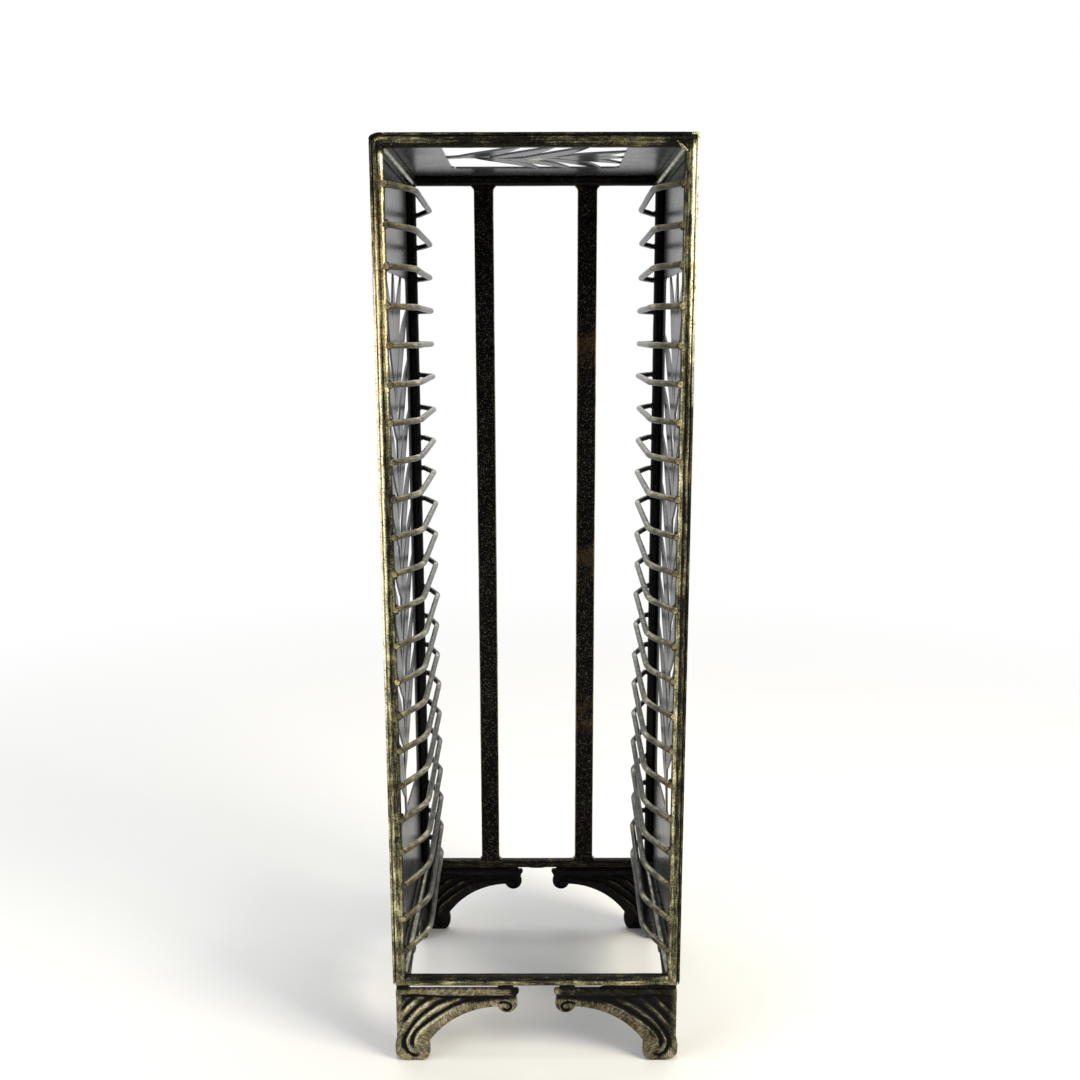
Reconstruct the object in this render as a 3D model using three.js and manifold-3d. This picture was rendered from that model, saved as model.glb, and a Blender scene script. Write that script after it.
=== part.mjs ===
// A welded steel storage tower for disc cases: two bar frames joined by four side rails, two flat
// back strips, three pierced sheet panels, forty-four bent rest wires and four scroll corner feet.
// Millimetres, Z up, X across, front towards -Y. The origin is on the floor under the middle.
import * as THREE from "three";
import { mergeVertices } from "three/addons/utils/BufferGeometryUtils.js";
import Module from "manifold-3d";

const wasm = await Module();
wasm.setup();

// Overall sizes
const towerWidth = 170; // over both side panels
const towerDepth = 152.6; // over the front and rear frames
const frameHeight = 481.2; // underside of the bottom rails to the upper face of the top rails

// Square bar and sheet
const barSize = 6;
const barChamfer = 1.2;
const bentCornerRadius = 4; // the bar is bent round at the top left corner of each frame
const sheetThickness = 1.2;
const sheetInset = 1.4; // ends of the panels short of the frames' outer edges
const sheetSetback = 0.3; // their long edges behind the front face and ahead of the rear one
const sheetCornerRadius = 2.5;
const overrun = 1; // how far a cut or a joined piece runs past the face it meets
const mergeDistance = 1e-4; // points nearer than this are one

// Flat strips up the back
const stripWidth = 12.7;
const stripThickness = 3.2;
const stripSpacing = 67.4; // centre to centre
const stripWeldFlare = 1.8; // weld metal beside each strip end
const stripWeldRise = 1.4;

// Weld that closes the rear frame's bar under its bottom rail
const closingWeldLength = 15;
const closingWeldDrop = 0.8;
const closingWeldTaper = 3;

// Rest wires
const wirePairs = 22;
const wireDiameter = 3.5;
const wireSeatGap = 0.1; // between a wire's end and the upright that holds it
const wireFrontSetback = 1.3; // front end of a wire behind the front face
const wireRearSetback = 3.2; // rear end of a wire ahead of the rear face
const wireFrontBendSetback = 25;
const wireRearBendSetback = 27.6;
const wireFrontLedge = 13.1; // how far the long run stands in from the uprights, at its front bend
const wireRearLedge = 11.2; // and at its rear bend
const wireFrontBendRadius = 22;
const wireRearBendRadius = 5;
const lowestWireRise = 17.3; // lowest wire over the bottom rails
const highestWireDrop = 17.9; // highest wire under the top rails

// Corner feet
const footHeight = 46.8;
const footGap = 2.2; // between a wing's top edge and the rail over it
const footTipGap = 5.8; // between the tips of two feet along the shorter side of the tower
const footWebThickness = 3.2;
const footRelief = 0.7; // ribs stand this far out of each face of the web
const archRadius = 52;
const archRibWidth = 5.2;
const scrollRadius = 6.1;
const lobeRadius = 9.7;
const nubRadius = 1.5;
const ribMargin = 0.5; // ribs stop this far inside the web's outline
const footRimHeight = 3;
const cornerPadLength = 7;
const tipPadLength = 9.6;
const padSlope = 1.6;

// Pierced windows
const sideWindowBorder = 11.6; // solid sheet at the front and rear edges of a side panel
const sideWindowTopBorder = 64;
const sideWindowBottomBorder = 76;
const topWindowSideBorder = 31;
const topWindowFrontBorder = 39.1;
const topWindowRearBorder = 36.1;
const windowCornerRadius = 4;
const vineStemWidth = 4.6;
const vineSway = 3.2;
const sideVinePairs = 8;
const topVinePairs = 3;
const leafBite = 1.5; // how far a leaf tip runs into the border round its window

// Worked out from the sizes above
const barOuterX = towerWidth / 2 - sheetThickness;
const barInnerX = barOuterX - barSize;
const frontY = -towerDepth / 2;
const rearY = towerDepth / 2;
const railBottomZ = footHeight + footGap;
const frameTopZ = railBottomZ + frameHeight;
const railTopZ = railBottomZ + barSize;
const topRailUnderZ = frameTopZ - barSize;
const footWingLength = (Math.min(2 * barOuterX, towerDepth) - footTipGap) / 2;
const footThickness = footWebThickness + 2 * footRelief;

const finish = {
  frame: { color: 0x4b412a, roughness: 0.5, metalness: 0.7 },
  strip: { color: 0x1d1a15, roughness: 0.55, metalness: 0.6 },
  sheet: { color: 0x4a4a4d, roughness: 0.42, metalness: 0.6 },
  wire: { color: 0x6b675b, roughness: 0.45, metalness: 0.75 },
  foot: { color: 0x5a5035, roughness: 0.6, metalness: 0.6 },
};

const tower = new THREE.Group();

function addPiece(parent, name, geometry, look) {
  const mesh = new THREE.Mesh(geometry, new THREE.MeshStandardMaterial(look));
  mesh.name = name;
  parent.add(mesh);
  return mesh;
}

function toSolid(geometry) {
  const bare = geometry.clone();
  bare.deleteAttribute("normal");
  bare.deleteAttribute("uv");
  const merged = mergeVertices(bare, mergeDistance);
  const mesh = new wasm.Mesh({
    numProp: 3,
    vertProperties: new Float32Array(merged.attributes.position.array),
    triVerts: new Uint32Array(merged.index.array),
  });
  return new wasm.Manifold(mesh);
}

function toGeometry(solid) {
  const mesh = solid.getMesh();
  const geometry = new THREE.BufferGeometry();
  geometry.setAttribute("position", new THREE.BufferAttribute(mesh.vertProperties, 3));
  geometry.setIndex(new THREE.BufferAttribute(mesh.triVerts, 1));
  geometry.computeVertexNormals();
  return geometry;
}

function join(geometries) {
  const joined = geometries.map(toSolid).reduce((whole, piece) => whole.add(piece));
  return toGeometry(joined);
}

function cut(geometry, cutter) {
  return toGeometry(toSolid(geometry).subtract(toSolid(cutter)));
}

function extrude(shape, depth, curveSegments = 4) {
  return new THREE.ExtrudeGeometry(shape, { depth, curveSegments, bevelEnabled: false });
}

// Skin over a row of rings with equal counts of points. A closed row meets its own start, an open
// one is capped at both ends. Points run right-handed about the row's direction.
function skin(rings, closed) {
  const sides = rings[0].length;
  const positions = rings.flat(2);
  const faces = [];
  const spans = closed ? rings.length : rings.length - 1;
  for (let i = 0; i < spans; i++) {
    const here = i * sides;
    const there = ((i + 1) % rings.length) * sides;
    for (let j = 0; j < sides; j++) {
      const k = (j + 1) % sides;
      faces.push(here + j, here + k, there + k, here + j, there + k, there + j);
    }
  }
  if (!closed) {
    const last = (rings.length - 1) * sides;
    for (let j = 1; j < sides - 1; j++) {
      faces.push(0, j + 1, j, last, last + j, last + j + 1);
    }
  }
  const geometry = new THREE.BufferGeometry();
  geometry.setAttribute("position", new THREE.Float32BufferAttribute(positions, 3));
  geometry.setIndex(faces);
  geometry.computeVertexNormals();
  return geometry;
}

// Square bar with its four long edges eased, as [depth, inset] points from one corner of the bar
function barSection() {
  const near = barChamfer;
  const far = barSize - barChamfer;
  return [
    [near, 0],
    [far, 0],
    [barSize, near],
    [barSize, far],
    [far, barSize],
    [near, barSize],
    [0, far],
    [0, near],
  ];
}

function barShape() {
  const half = barSize / 2;
  return new THREE.Shape(barSection().map(([y, z]) => new THREE.Vector2(y - half, z - half)));
}

// Upright rectangular frame of bar with mitred corners. Its front face is at y = 0, and its top
// left corner is rounded off where the bar is bent.
function barFrame() {
  const corners = [
    [-1, 0],
    [1, 0],
    [1, 1],
    [-1, 1],
  ];
  const rings = corners.map(([side, top]) =>
    barSection().map(([y, inset]) => {
      const z = top ? frameTopZ - inset : railBottomZ + inset;
      return [side * (barOuterX - inset), y, z];
    }),
  );
  const corner = new THREE.Shape();
  corner.moveTo(-barOuterX - overrun, frameTopZ + overrun);
  corner.lineTo(-barOuterX - overrun, frameTopZ - bentCornerRadius);
  corner.lineTo(-barOuterX, frameTopZ - bentCornerRadius);
  corner.absarc(
    -barOuterX + bentCornerRadius,
    frameTopZ - bentCornerRadius,
    bentCornerRadius,
    Math.PI,
    Math.PI / 2,
    true,
  );
  corner.lineTo(-barOuterX + bentCornerRadius, frameTopZ + overrun);
  const cutter = extrude(corner, barSize + 2 * overrun);
  cutter.rotateX(Math.PI / 2);
  cutter.translate(0, barSize + overrun, 0);
  return cut(skin(rings, true), cutter);
}

// Low bead of weld metal under the middle of the rear frame's bottom rail
function closingWeld() {
  const half = closingWeldLength / 2;
  const shape = new THREE.Shape();
  shape.moveTo(-half, 0);
  shape.lineTo(-half + closingWeldTaper, -closingWeldDrop);
  shape.lineTo(half - closingWeldTaper, -closingWeldDrop);
  shape.lineTo(half, 0);
  shape.lineTo(half, barSize / 2);
  shape.lineTo(-half, barSize / 2);
  const bead = extrude(shape, barSize - 2 * barChamfer);
  bead.rotateX(Math.PI / 2);
  bead.translate(0, barSize - barChamfer, railBottomZ);
  return bead;
}

function addFrames() {
  addPiece(tower, "front_frame", barFrame(), finish.frame).position.y = frontY;
  const rear = join([barFrame(), closingWeld()]);
  addPiece(tower, "rear_frame", rear, finish.frame).position.y = rearY - barSize;
}

// Rails from the front frame to the rear one at each corner
function addSideRails() {
  const length = towerDepth - 2 * barSize;
  const rail = extrude(barShape(), length);
  rail.translate(0, 0, -length / 2);
  rail.rotateX(Math.PI / 2);
  const levels = { bottom: railBottomZ + barSize / 2, top: frameTopZ - barSize / 2 };
  for (const [level, z] of Object.entries(levels)) {
    for (const [side, sign] of [["left", -1], ["right", 1]]) {
      const piece = addPiece(tower, `side_rail_${level}_${side}`, rail.clone(), finish.frame);
      piece.position.set(sign * (barOuterX - barSize / 2), 0, z);
    }
  }
}

// Flat strips between the rear rails, flared by the weld metal at both ends
function addBackStrips() {
  const half = stripWidth / 2;
  const height = topRailUnderZ - railTopZ;
  const flare = half + stripWeldFlare;
  const shape = new THREE.Shape();
  shape.moveTo(-flare, 0);
  shape.lineTo(flare, 0);
  shape.quadraticCurveTo(half, 0, half, stripWeldRise);
  shape.lineTo(half, height - stripWeldRise);
  shape.quadraticCurveTo(half, height, flare, height);
  shape.lineTo(-flare, height);
  shape.quadraticCurveTo(-half, height, -half, height - stripWeldRise);
  shape.lineTo(-half, stripWeldRise);
  shape.quadraticCurveTo(-half, 0, -flare, 0);
  const strip = extrude(shape, stripThickness, 3);
  strip.rotateX(Math.PI / 2);
  const y = rearY - barSize / 2 + stripThickness / 2;
  for (const [side, sign] of [["left", -1], ["right", 1]]) {
    const piece = addPiece(tower, `back_strip_${side}`, strip.clone(), finish.strip);
    piece.position.set((sign * stripSpacing) / 2, y, railTopZ);
  }
}

function roundedRectangle(target, lowX, lowY, highX, highY, radius) {
  target.moveTo(lowX + radius, lowY);
  target.lineTo(highX - radius, lowY);
  target.absarc(highX - radius, lowY + radius, radius, -Math.PI / 2, 0, false);
  target.lineTo(highX, highY - radius);
  target.absarc(highX - radius, highY - radius, radius, 0, Math.PI / 2, false);
  target.lineTo(lowX + radius, highY);
  target.absarc(lowX + radius, highY - radius, radius, Math.PI / 2, Math.PI, false);
  target.lineTo(lowX, lowY + radius);
  target.absarc(lowX + radius, lowY + radius, radius, Math.PI, 1.5 * Math.PI, false);
  return target;
}

const leafRiseShare = 1.02; // a leaf's rise over its reach
const leafWidthShare = 0.26; // a leaf's half width over the spacing of the pairs
const leafWidestShare = 0.8; // under 1 the leaf is widest before its middle
const leafBowShare = 0.1; // how far a leaf's rib bows, over its rise
const rightLeafShare = 0.3; // first leaf on each side, in spacings of the pairs
const leftLeafShare = 0.8;
const crownRootShare = 0.35; // root of the crown over the last pair's, in spacings of the pairs
const crownTipShares = [-0.56, 0, 0.56]; // tips of the crown's leaves, over the leaves' reach
const swayPitchShare = 2.6; // length of the stem's sway, in spacings of the pairs

// One leaf from a root point to a tip, its width rising and falling as a sine, its rib bowed
function leafShape(rootX, rootY, tipX, tipY, halfWidth, bow) {
  const steps = 5;
  const length = Math.hypot(tipX - rootX, tipY - rootY);
  const alongX = (tipX - rootX) / length;
  const alongY = (tipY - rootY) / length;
  const edge = (side) =>
    Array.from({ length: steps + 1 }, (_, i) => {
      const t = i / steps;
      const bend = bow * Math.sin(Math.PI * t);
      const off = bend + side * halfWidth * Math.sin(Math.PI * t ** leafWidestShare);
      const run = t * length;
      return new THREE.Vector2(
        rootX + alongX * run - alongY * off,
        rootY + alongY * run + alongX * off,
      );
    });
  const back = edge(1).slice(1, -1).reverse();
  return new THREE.Shape([...edge(-1), ...back]);
}

// A swaying stem up a window from y = 0 towards y = height, with pairs of leaves whose tips run into
// the window's sides at x = -reach and x = reach, and a crown of leaves that reach its far end
function vineShapes(reach, height, pairs) {
  const rise = reach * leafRiseShare;
  const pitch = (height - rise) / (pairs + crownRootShare);
  const halfWidth = pitch * leafWidthShare;
  const crownY = height - rise;
  const stations = 2 * pairs;
  const sway = (y) => vineSway * Math.sin((2 * Math.PI * y) / (pitch * swayPitchShare));
  const side = (sign) =>
    Array.from({ length: stations + 1 }, (_, i) => {
      const y = (i / stations) * (crownY + 2 * leafBite) - leafBite;
      return new THREE.Vector2(sway(y) + (sign * vineStemWidth) / 2, y);
    });
  const shapes = [new THREE.Shape([...side(1), ...side(-1).reverse()])];
  for (let i = 0; i < pairs; i++) {
    for (const sign of [-1, 1]) {
      const y = pitch * (i + (sign > 0 ? rightLeafShare : leftLeafShare));
      const tipX = sign * (reach + leafBite);
      shapes.push(leafShape(sway(y), y, tipX, y + rise, halfWidth, sign * rise * leafBowShare));
    }
  }
  for (const share of crownTipShares) {
    const tipY = height + leafBite;
    const bow = share * rise * leafBowShare;
    shapes.push(leafShape(sway(crownY), crownY, share * reach, tipY, halfWidth, bow));
  }
  return shapes;
}

// Sheet from (0, 0) to (width, height) with one window, and a vine of leaves left standing in it
function piercedSheet(width, height, window, vine) {
  const blank = roundedRectangle(new THREE.Shape(), 0, 0, width, height, sheetCornerRadius);
  const hole = new THREE.Path();
  roundedRectangle(hole, window.lowX, window.lowY, window.highX, window.highY, windowCornerRadius);
  blank.holes.push(hole);
  return join([extrude(blank, sheetThickness, 3), ...vine]);
}

function addSidePanels() {
  const width = towerDepth - 2 * sheetSetback;
  const height = frameHeight - 2 * sheetInset;
  const window = {
    lowX: sideWindowBorder,
    highX: width - sideWindowBorder,
    lowY: sideWindowBottomBorder,
    highY: height - sideWindowTopBorder,
  };
  const reach = width / 2 - sideWindowBorder;
  const vine = vineShapes(reach, window.highY - window.lowY, sideVinePairs).map((shape) => {
    const piece = extrude(shape, sheetThickness);
    piece.translate(width / 2, window.lowY, 0);
    return piece;
  });
  const sheet = piercedSheet(width, height, window, vine);
  sheet.translate(-width / 2, 0, 0);
  for (const [side, sign] of [["left", -1], ["right", 1]]) {
    const holder = new THREE.Group();
    holder.rotation.z = (sign * Math.PI) / 2;
    holder.position.set(sign * barOuterX, 0, railBottomZ + sheetInset);
    const panel = addPiece(holder, `side_panel_${side}`, sheet.clone(), finish.sheet);
    panel.rotation.x = Math.PI / 2;
    tower.add(holder);
  }
}

function addTopPanel() {
  const width = 2 * barOuterX - 2 * sheetInset;
  const depth = towerDepth - 2 * sheetSetback;
  const window = {
    lowX: topWindowSideBorder,
    highX: width - topWindowSideBorder,
    lowY: topWindowFrontBorder,
    highY: depth - topWindowRearBorder,
  };
  const reach = (window.highY - window.lowY) / 2;
  const vine = vineShapes(reach, window.highX - window.lowX, topVinePairs).map((shape) => {
    const piece = extrude(shape, sheetThickness);
    piece.rotateZ(-Math.PI / 2);
    piece.translate(window.lowX, (window.lowY + window.highY) / 2, 0);
    return piece;
  });
  const sheet = piercedSheet(width, depth, window, vine);
  sheet.translate(-width / 2, -depth / 2, 0);
  addPiece(tower, "top_panel", sheet, finish.sheet).position.z = frameTopZ;
}

// Stations of a wire's centre line: straight legs with a round bend between them, the soft front
// bend as an arc in three stations and the tight rear one in two
function wireStations(sign) {
  const endX = barInnerX - wireDiameter / 2 - wireSeatGap;
  const corners = [
    new THREE.Vector2(sign * endX, frontY + wireFrontSetback),
    new THREE.Vector2(sign * (barInnerX - wireFrontLedge), frontY + wireFrontBendSetback),
    new THREE.Vector2(sign * (barInnerX - wireRearLedge), rearY - wireRearBendSetback),
    new THREE.Vector2(sign * endX, rearY - wireRearSetback),
  ];
  const stations = [corners[0]];
  const bends = [
    { radius: wireFrontBendRadius, soft: true },
    { radius: wireRearBendRadius, soft: false },
  ];
  bends.forEach(({ radius, soft }, i) => {
    const corner = corners[i + 1];
    const back = corners[i].clone().sub(corner).normalize();
    const ahead = corners[i + 2].clone().sub(corner).normalize();
    const half = back.angleTo(ahead) / 2;
    const tangentLength = radius / Math.tan(half);
    const centre = back
      .clone()
      .add(ahead)
      .setLength(radius / Math.sin(half))
      .add(corner);
    const middle = corner.clone().sub(centre).setLength(radius).add(centre);
    stations.push(corner.clone().addScaledVector(back, tangentLength));
    if (soft) stations.push(middle);
    stations.push(corner.clone().addScaledVector(ahead, tangentLength));
  });
  stations.push(corners[3]);
  return stations;
}

// Round wire through the stations, each ring square to the mean of the runs beside it
function wireGeometry(sign) {
  const sides = 8;
  const stations = wireStations(sign);
  const runs = stations.slice(1).map((point, i) => point.clone().sub(stations[i]).normalize());
  const rings = stations.map((point, i) => {
    const before = runs[Math.max(i - 1, 0)];
    const after = runs[Math.min(i, runs.length - 1)];
    const run = before.clone().add(after).normalize();
    return Array.from({ length: sides }, (_, j) => {
      const turn = ((j + 0.5) / sides) * 2 * Math.PI;
      const across = (wireDiameter / 2) * Math.cos(turn);
      const up = (wireDiameter / 2) * Math.sin(turn);
      return [point.x - run.y * across, point.y + run.x * across, up];
    });
  });
  return skin(rings, false);
}

function addWires() {
  const lowest = railTopZ + lowestWireRise;
  const highest = topRailUnderZ - highestWireDrop;
  for (const [side, sign] of [["left", -1], ["right", 1]]) {
    const geometry = wireGeometry(sign);
    for (let i = 0; i < wirePairs; i++) {
      const name = `rest_wire_${side}_${String(i + 1).padStart(2, "0")}`;
      const wire = addPiece(tower, name, geometry.clone(), finish.wire);
      wire.position.z = lowest + ((highest - lowest) * i) / (wirePairs - 1);
    }
  }
}

// Places on a foot's wing, as shares of its length from the tower's corner and of its height
const soleShare = [0.078, 0.203]; // start and end of the flat sole along the wing
const lobeSideShare = 0.21; // height where the lobe's outer side starts to curve in
const heelBendShare = [0.01, 0.014]; // bend of that curve on its way to the sole
const lobeCentreShare = [0.137, 0.205];
const lobeCuspShare = [0.264, 0.27]; // where the lobe meets the arch
const lobeSwellShare = [0.285, 0.135]; // pulls the lobe's inner side out
const scrollCentreShare = [0.905, 0.808];
const scrollCuspAngle = THREE.MathUtils.degToRad(202);
const scrollTopAngle = THREE.MathUtils.degToRad(38);
const curlOuterShare = 0.68; // groove of a curl, as shares of its radius
const curlInnerShare = 0.42;
const scrollGrooveStart = 0.4 * Math.PI; // and where each groove starts, and how far it turns
const scrollGrooveSweep = 1.3 * Math.PI;
const lobeGrooveStart = -Math.PI;
const lobeGrooveSweep = 1.25 * Math.PI;
const ribShares = [
  { start: [0.47, 0.83], bend: [0.17, 0.62], end: [0.09, 0.2], width: 0.26 },
  { start: [0.35, 0.87], bend: [0.13, 0.72], end: [0.07, 0.36], width: 0.24 },
  { start: [0.225, 0.88], bend: [0.14, 0.82], end: [0.07, 0.62], width: 0.2 },
];

function wingPlace([alongShare, upShare]) {
  return new THREE.Vector2(alongShare * footWingLength, upShare * footHeight);
}

function arcPoints(centre, radius, from, to, steps) {
  return Array.from({ length: steps + 1 }, (_, i) => {
    const angle = from + ((to - from) * i) / steps;
    return new THREE.Vector2(
      centre.x + radius * Math.cos(angle),
      centre.y + radius * Math.sin(angle),
    );
  });
}

// Centre of an arc of a given radius from one point to another, below and beyond their chord
function arcCentre(from, to, radius) {
  const chord = to.clone().sub(from);
  const half = chord.length() / 2;
  const middle = from.clone().add(to).multiplyScalar(0.5);
  const away = new THREE.Vector2(chord.y, -chord.x).normalize();
  return middle.addScaledVector(away, Math.sqrt(radius ** 2 - half ** 2));
}

function angleFrom(centre, point) {
  return Math.atan2(point.y - centre.y, point.x - centre.x);
}

const lobeCusp = wingPlace(lobeCuspShare);
const scrollCentre = wingPlace(scrollCentreShare);
const scrollCusp = arcPoints(scrollCentre, scrollRadius, scrollCuspAngle, 0, 1)[0];
const archCentre = arcCentre(lobeCusp, scrollCusp, archRadius);
const archStart = angleFrom(archCentre, lobeCusp);
const archEnd = angleFrom(archCentre, scrollCusp);

// Outline of a wing, with the pads on its top edge that meet the rail
function wingOutline() {
  const [soleStart, soleEnd] = soleShare.map((share) => share * footWingLength);
  const side = footRelief;
  const lobeSide = lobeSideShare * footHeight;
  const padTop = footHeight + footGap;
  const nub = new THREE.Vector2(footWingLength - nubRadius, footHeight - nubRadius);
  const tipPadEnd = nub.x - padSlope;
  const lobe = new THREE.CubicBezierCurve(
    new THREE.Vector2(soleEnd, 0),
    new THREE.Vector2(lobeCusp.x, 0),
    wingPlace(lobeSwellShare),
    lobeCusp,
  );
  const heel = new THREE.QuadraticBezierCurve(
    new THREE.Vector2(side, lobeSide),
    wingPlace(heelBendShare),
    new THREE.Vector2(soleStart, 0),
  );
  const scrollTop = 2 * Math.PI + scrollTopAngle;
  return new THREE.Shape([
    ...lobe.getPoints(5),
    ...arcPoints(archCentre, archRadius, archStart, archEnd, 7).slice(1),
    ...arcPoints(scrollCentre, scrollRadius, scrollCuspAngle, scrollTop, 8).slice(1),
    ...arcPoints(nub, nubRadius, -Math.PI / 3, Math.PI / 2, 3),
    new THREE.Vector2(tipPadEnd, padTop),
    new THREE.Vector2(tipPadEnd - tipPadLength, padTop),
    new THREE.Vector2(tipPadEnd - tipPadLength - padSlope, footHeight),
    new THREE.Vector2(cornerPadLength + padSlope, footHeight),
    new THREE.Vector2(cornerPadLength, padTop),
    new THREE.Vector2(side, padTop),
    ...heel.getPoints(3),
  ]);
}

// The wide rib that follows the arch from the lobe to the scroll
function archRib() {
  const inner = archRadius + ribMargin;
  const outer = archRadius + archRibWidth;
  return new THREE.Shape([
    ...arcPoints(archCentre, inner, archStart, archEnd, 4),
    ...arcPoints(archCentre, outer, archEnd, archStart, 4),
  ]);
}

// A narrow rib between the arch and the corner, along a curve that is bent once, with its half
// width at the middle as a share of the wide rib's
function narrowRib({ start, bend, end, width }) {
  const steps = 3;
  const curve = new THREE.QuadraticBezierCurve(wingPlace(start), wingPlace(bend), wingPlace(end));
  const side = (sign) =>
    Array.from({ length: steps + 1 }, (_, i) => {
      const t = i / steps;
      const along = curve.getTangent(t);
      const off = sign * width * archRibWidth * Math.sqrt(Math.sin(Math.PI * t));
      const point = curve.getPoint(t);
      return new THREE.Vector2(point.x - along.y * off, point.y + along.x * off);
    });
  return new THREE.Shape([...side(-1), ...side(1).slice(1, -1).reverse()]);
}

// Raised disc with a groove that curls round inside it
function curl(centre, radius, start, sweep) {
  const shape = new THREE.Shape(arcPoints(centre, radius, 0, 2 * Math.PI, 10).slice(1));
  const end = start + sweep;
  const groove = new THREE.Path([
    ...arcPoints(centre, radius * curlOuterShare, start, end, 4),
    ...arcPoints(centre, radius * curlInnerShare, end, start, 4),
  ]);
  shape.holes.push(groove);
  return shape;
}

// One wing with its outer face at y = 0, its web between the ribs that stand out of both faces
function wingPieces() {
  const web = extrude(wingOutline(), footWebThickness);
  web.translate(0, 0, footRelief);
  const scrollDisc = scrollRadius - ribMargin;
  const lobeDisc = lobeRadius - ribMargin;
  const lobeCentre = wingPlace(lobeCentreShare);
  const scroll = curl(scrollCentre, scrollDisc, scrollGrooveStart, scrollGrooveSweep);
  const lobe = curl(lobeCentre, lobeDisc, lobeGrooveStart, lobeGrooveSweep);
  const rim = new THREE.Shape([
    new THREE.Vector2(footRelief, footHeight - footRimHeight),
    new THREE.Vector2(footWingLength - 2 * nubRadius, footHeight - footRimHeight),
    new THREE.Vector2(footWingLength - nubRadius, footHeight - ribMargin),
    new THREE.Vector2(footRelief, footHeight - ribMargin),
  ]);
  const relief = [archRib(), scroll, lobe, rim, ...ribShares.map(narrowRib)];
  const pieces = [web, ...relief.map((shape) => extrude(shape, footThickness))];
  pieces.forEach((piece) => {
    piece.rotateX(Math.PI / 2);
    piece.translate(0, footThickness, 0);
  });
  return pieces;
}

// Square post at the corner of the tower, where the two wings meet
function cornerPost() {
  const low = lobeSideShare * footHeight;
  const high = footHeight + footGap;
  const post = new THREE.BoxGeometry(footThickness, footThickness, high - low);
  post.translate(footThickness / 2, footThickness / 2, (low + high) / 2);
  return post;
}

// The same piece with x and y changed over, its faces turned to point outwards again
function swapped(geometry) {
  const twin = geometry.index ? geometry.toNonIndexed() : geometry.clone();
  const places = twin.attributes.position;
  for (let i = 0; i < places.count; i += 3) {
    const corners = [0, 2, 1].map((j) => new THREE.Vector3().fromBufferAttribute(places, i + j));
    corners.forEach((corner, j) => places.setXYZ(i + j, corner.y, corner.x, corner.z));
  }
  return twin;
}

function addFeet() {
  const pieces = wingPieces();
  const foot = join([cornerPost(), ...pieces, ...pieces.map(swapped)]);
  const corners = [
    ["front_left", -1, -1, 0],
    ["front_right", 1, -1, 1],
    ["rear_right", 1, 1, 2],
    ["rear_left", -1, 1, 3],
  ];
  for (const [corner, sideX, sideY, quarterTurns] of corners) {
    const piece = addPiece(tower, `foot_${corner}`, foot.clone(), finish.foot);
    piece.position.set(sideX * barOuterX, (sideY * towerDepth) / 2, 0);
    piece.rotation.z = (quarterTurns * Math.PI) / 2;
  }
}

addFrames();
addSideRails();
addBackStrips();
addSidePanels();
addTopPanel();
addWires();
addFeet();

export default tower;
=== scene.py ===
import math

import bpy
import numpy as np
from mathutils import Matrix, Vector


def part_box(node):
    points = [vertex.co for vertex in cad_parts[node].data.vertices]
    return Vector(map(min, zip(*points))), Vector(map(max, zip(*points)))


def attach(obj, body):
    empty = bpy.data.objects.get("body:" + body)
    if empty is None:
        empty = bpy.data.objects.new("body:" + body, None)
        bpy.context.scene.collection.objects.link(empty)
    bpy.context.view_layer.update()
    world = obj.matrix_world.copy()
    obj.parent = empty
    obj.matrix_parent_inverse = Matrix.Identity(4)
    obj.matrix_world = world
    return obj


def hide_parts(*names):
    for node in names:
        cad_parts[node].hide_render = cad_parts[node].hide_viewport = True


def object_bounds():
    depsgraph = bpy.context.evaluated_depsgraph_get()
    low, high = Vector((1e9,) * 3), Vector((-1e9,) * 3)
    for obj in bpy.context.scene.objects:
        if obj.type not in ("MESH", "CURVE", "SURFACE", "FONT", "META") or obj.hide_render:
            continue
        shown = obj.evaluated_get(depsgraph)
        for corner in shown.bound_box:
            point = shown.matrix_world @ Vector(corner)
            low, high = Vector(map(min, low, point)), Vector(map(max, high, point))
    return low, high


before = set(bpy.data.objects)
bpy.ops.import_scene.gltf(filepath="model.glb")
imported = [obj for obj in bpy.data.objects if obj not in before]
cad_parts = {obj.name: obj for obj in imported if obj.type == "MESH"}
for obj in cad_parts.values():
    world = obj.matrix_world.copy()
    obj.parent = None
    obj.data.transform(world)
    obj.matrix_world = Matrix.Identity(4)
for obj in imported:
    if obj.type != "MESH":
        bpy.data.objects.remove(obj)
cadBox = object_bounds()
print("frame loaded:", len(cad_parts), "nodes")

mm = 0.001
scene = bpy.context.scene
bothSides = (("left", -1), ("right", 1))


# Box of a CAD node as two arrays, in millimetres
def nodeBox(name):
    return [np.array(corner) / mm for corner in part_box(name)]


frameLow, frameHigh = nodeBox("front_frame")
railLow, railHigh = nodeBox("side_rail_top_right")
barSize = railHigh[2] - railLow[2]
bar = {
    "size": barSize, "outerX": frameHigh[0], "innerX": frameHigh[0] - barSize,
    "frontY": frameLow[1], "rearY": nodeBox("rear_frame")[1][1],
    "lowZ": frameLow[2], "innerLow": frameLow[2] + barSize, "innerHigh": frameHigh[2] - barSize,
}


# Scene and nodes

def srgb(code):
    parts = [int(code[i:i + 2], 16) / 255 for i in (1, 3, 5)]
    linear = [c / 12.92 if c <= 0.04045 else ((c + 0.055) / 1.055) ** 2.4 for c in parts]
    return (*linear, 1.0)


def addObject(name, data):
    made = bpy.data.objects.new(name, data)
    scene.collection.objects.link(made)
    return made


# Node tree of a new material or world, emptied
def emptyTree(owner):
    owner.use_nodes = True
    owner.node_tree.nodes.clear()
    return owner.node_tree


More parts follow.
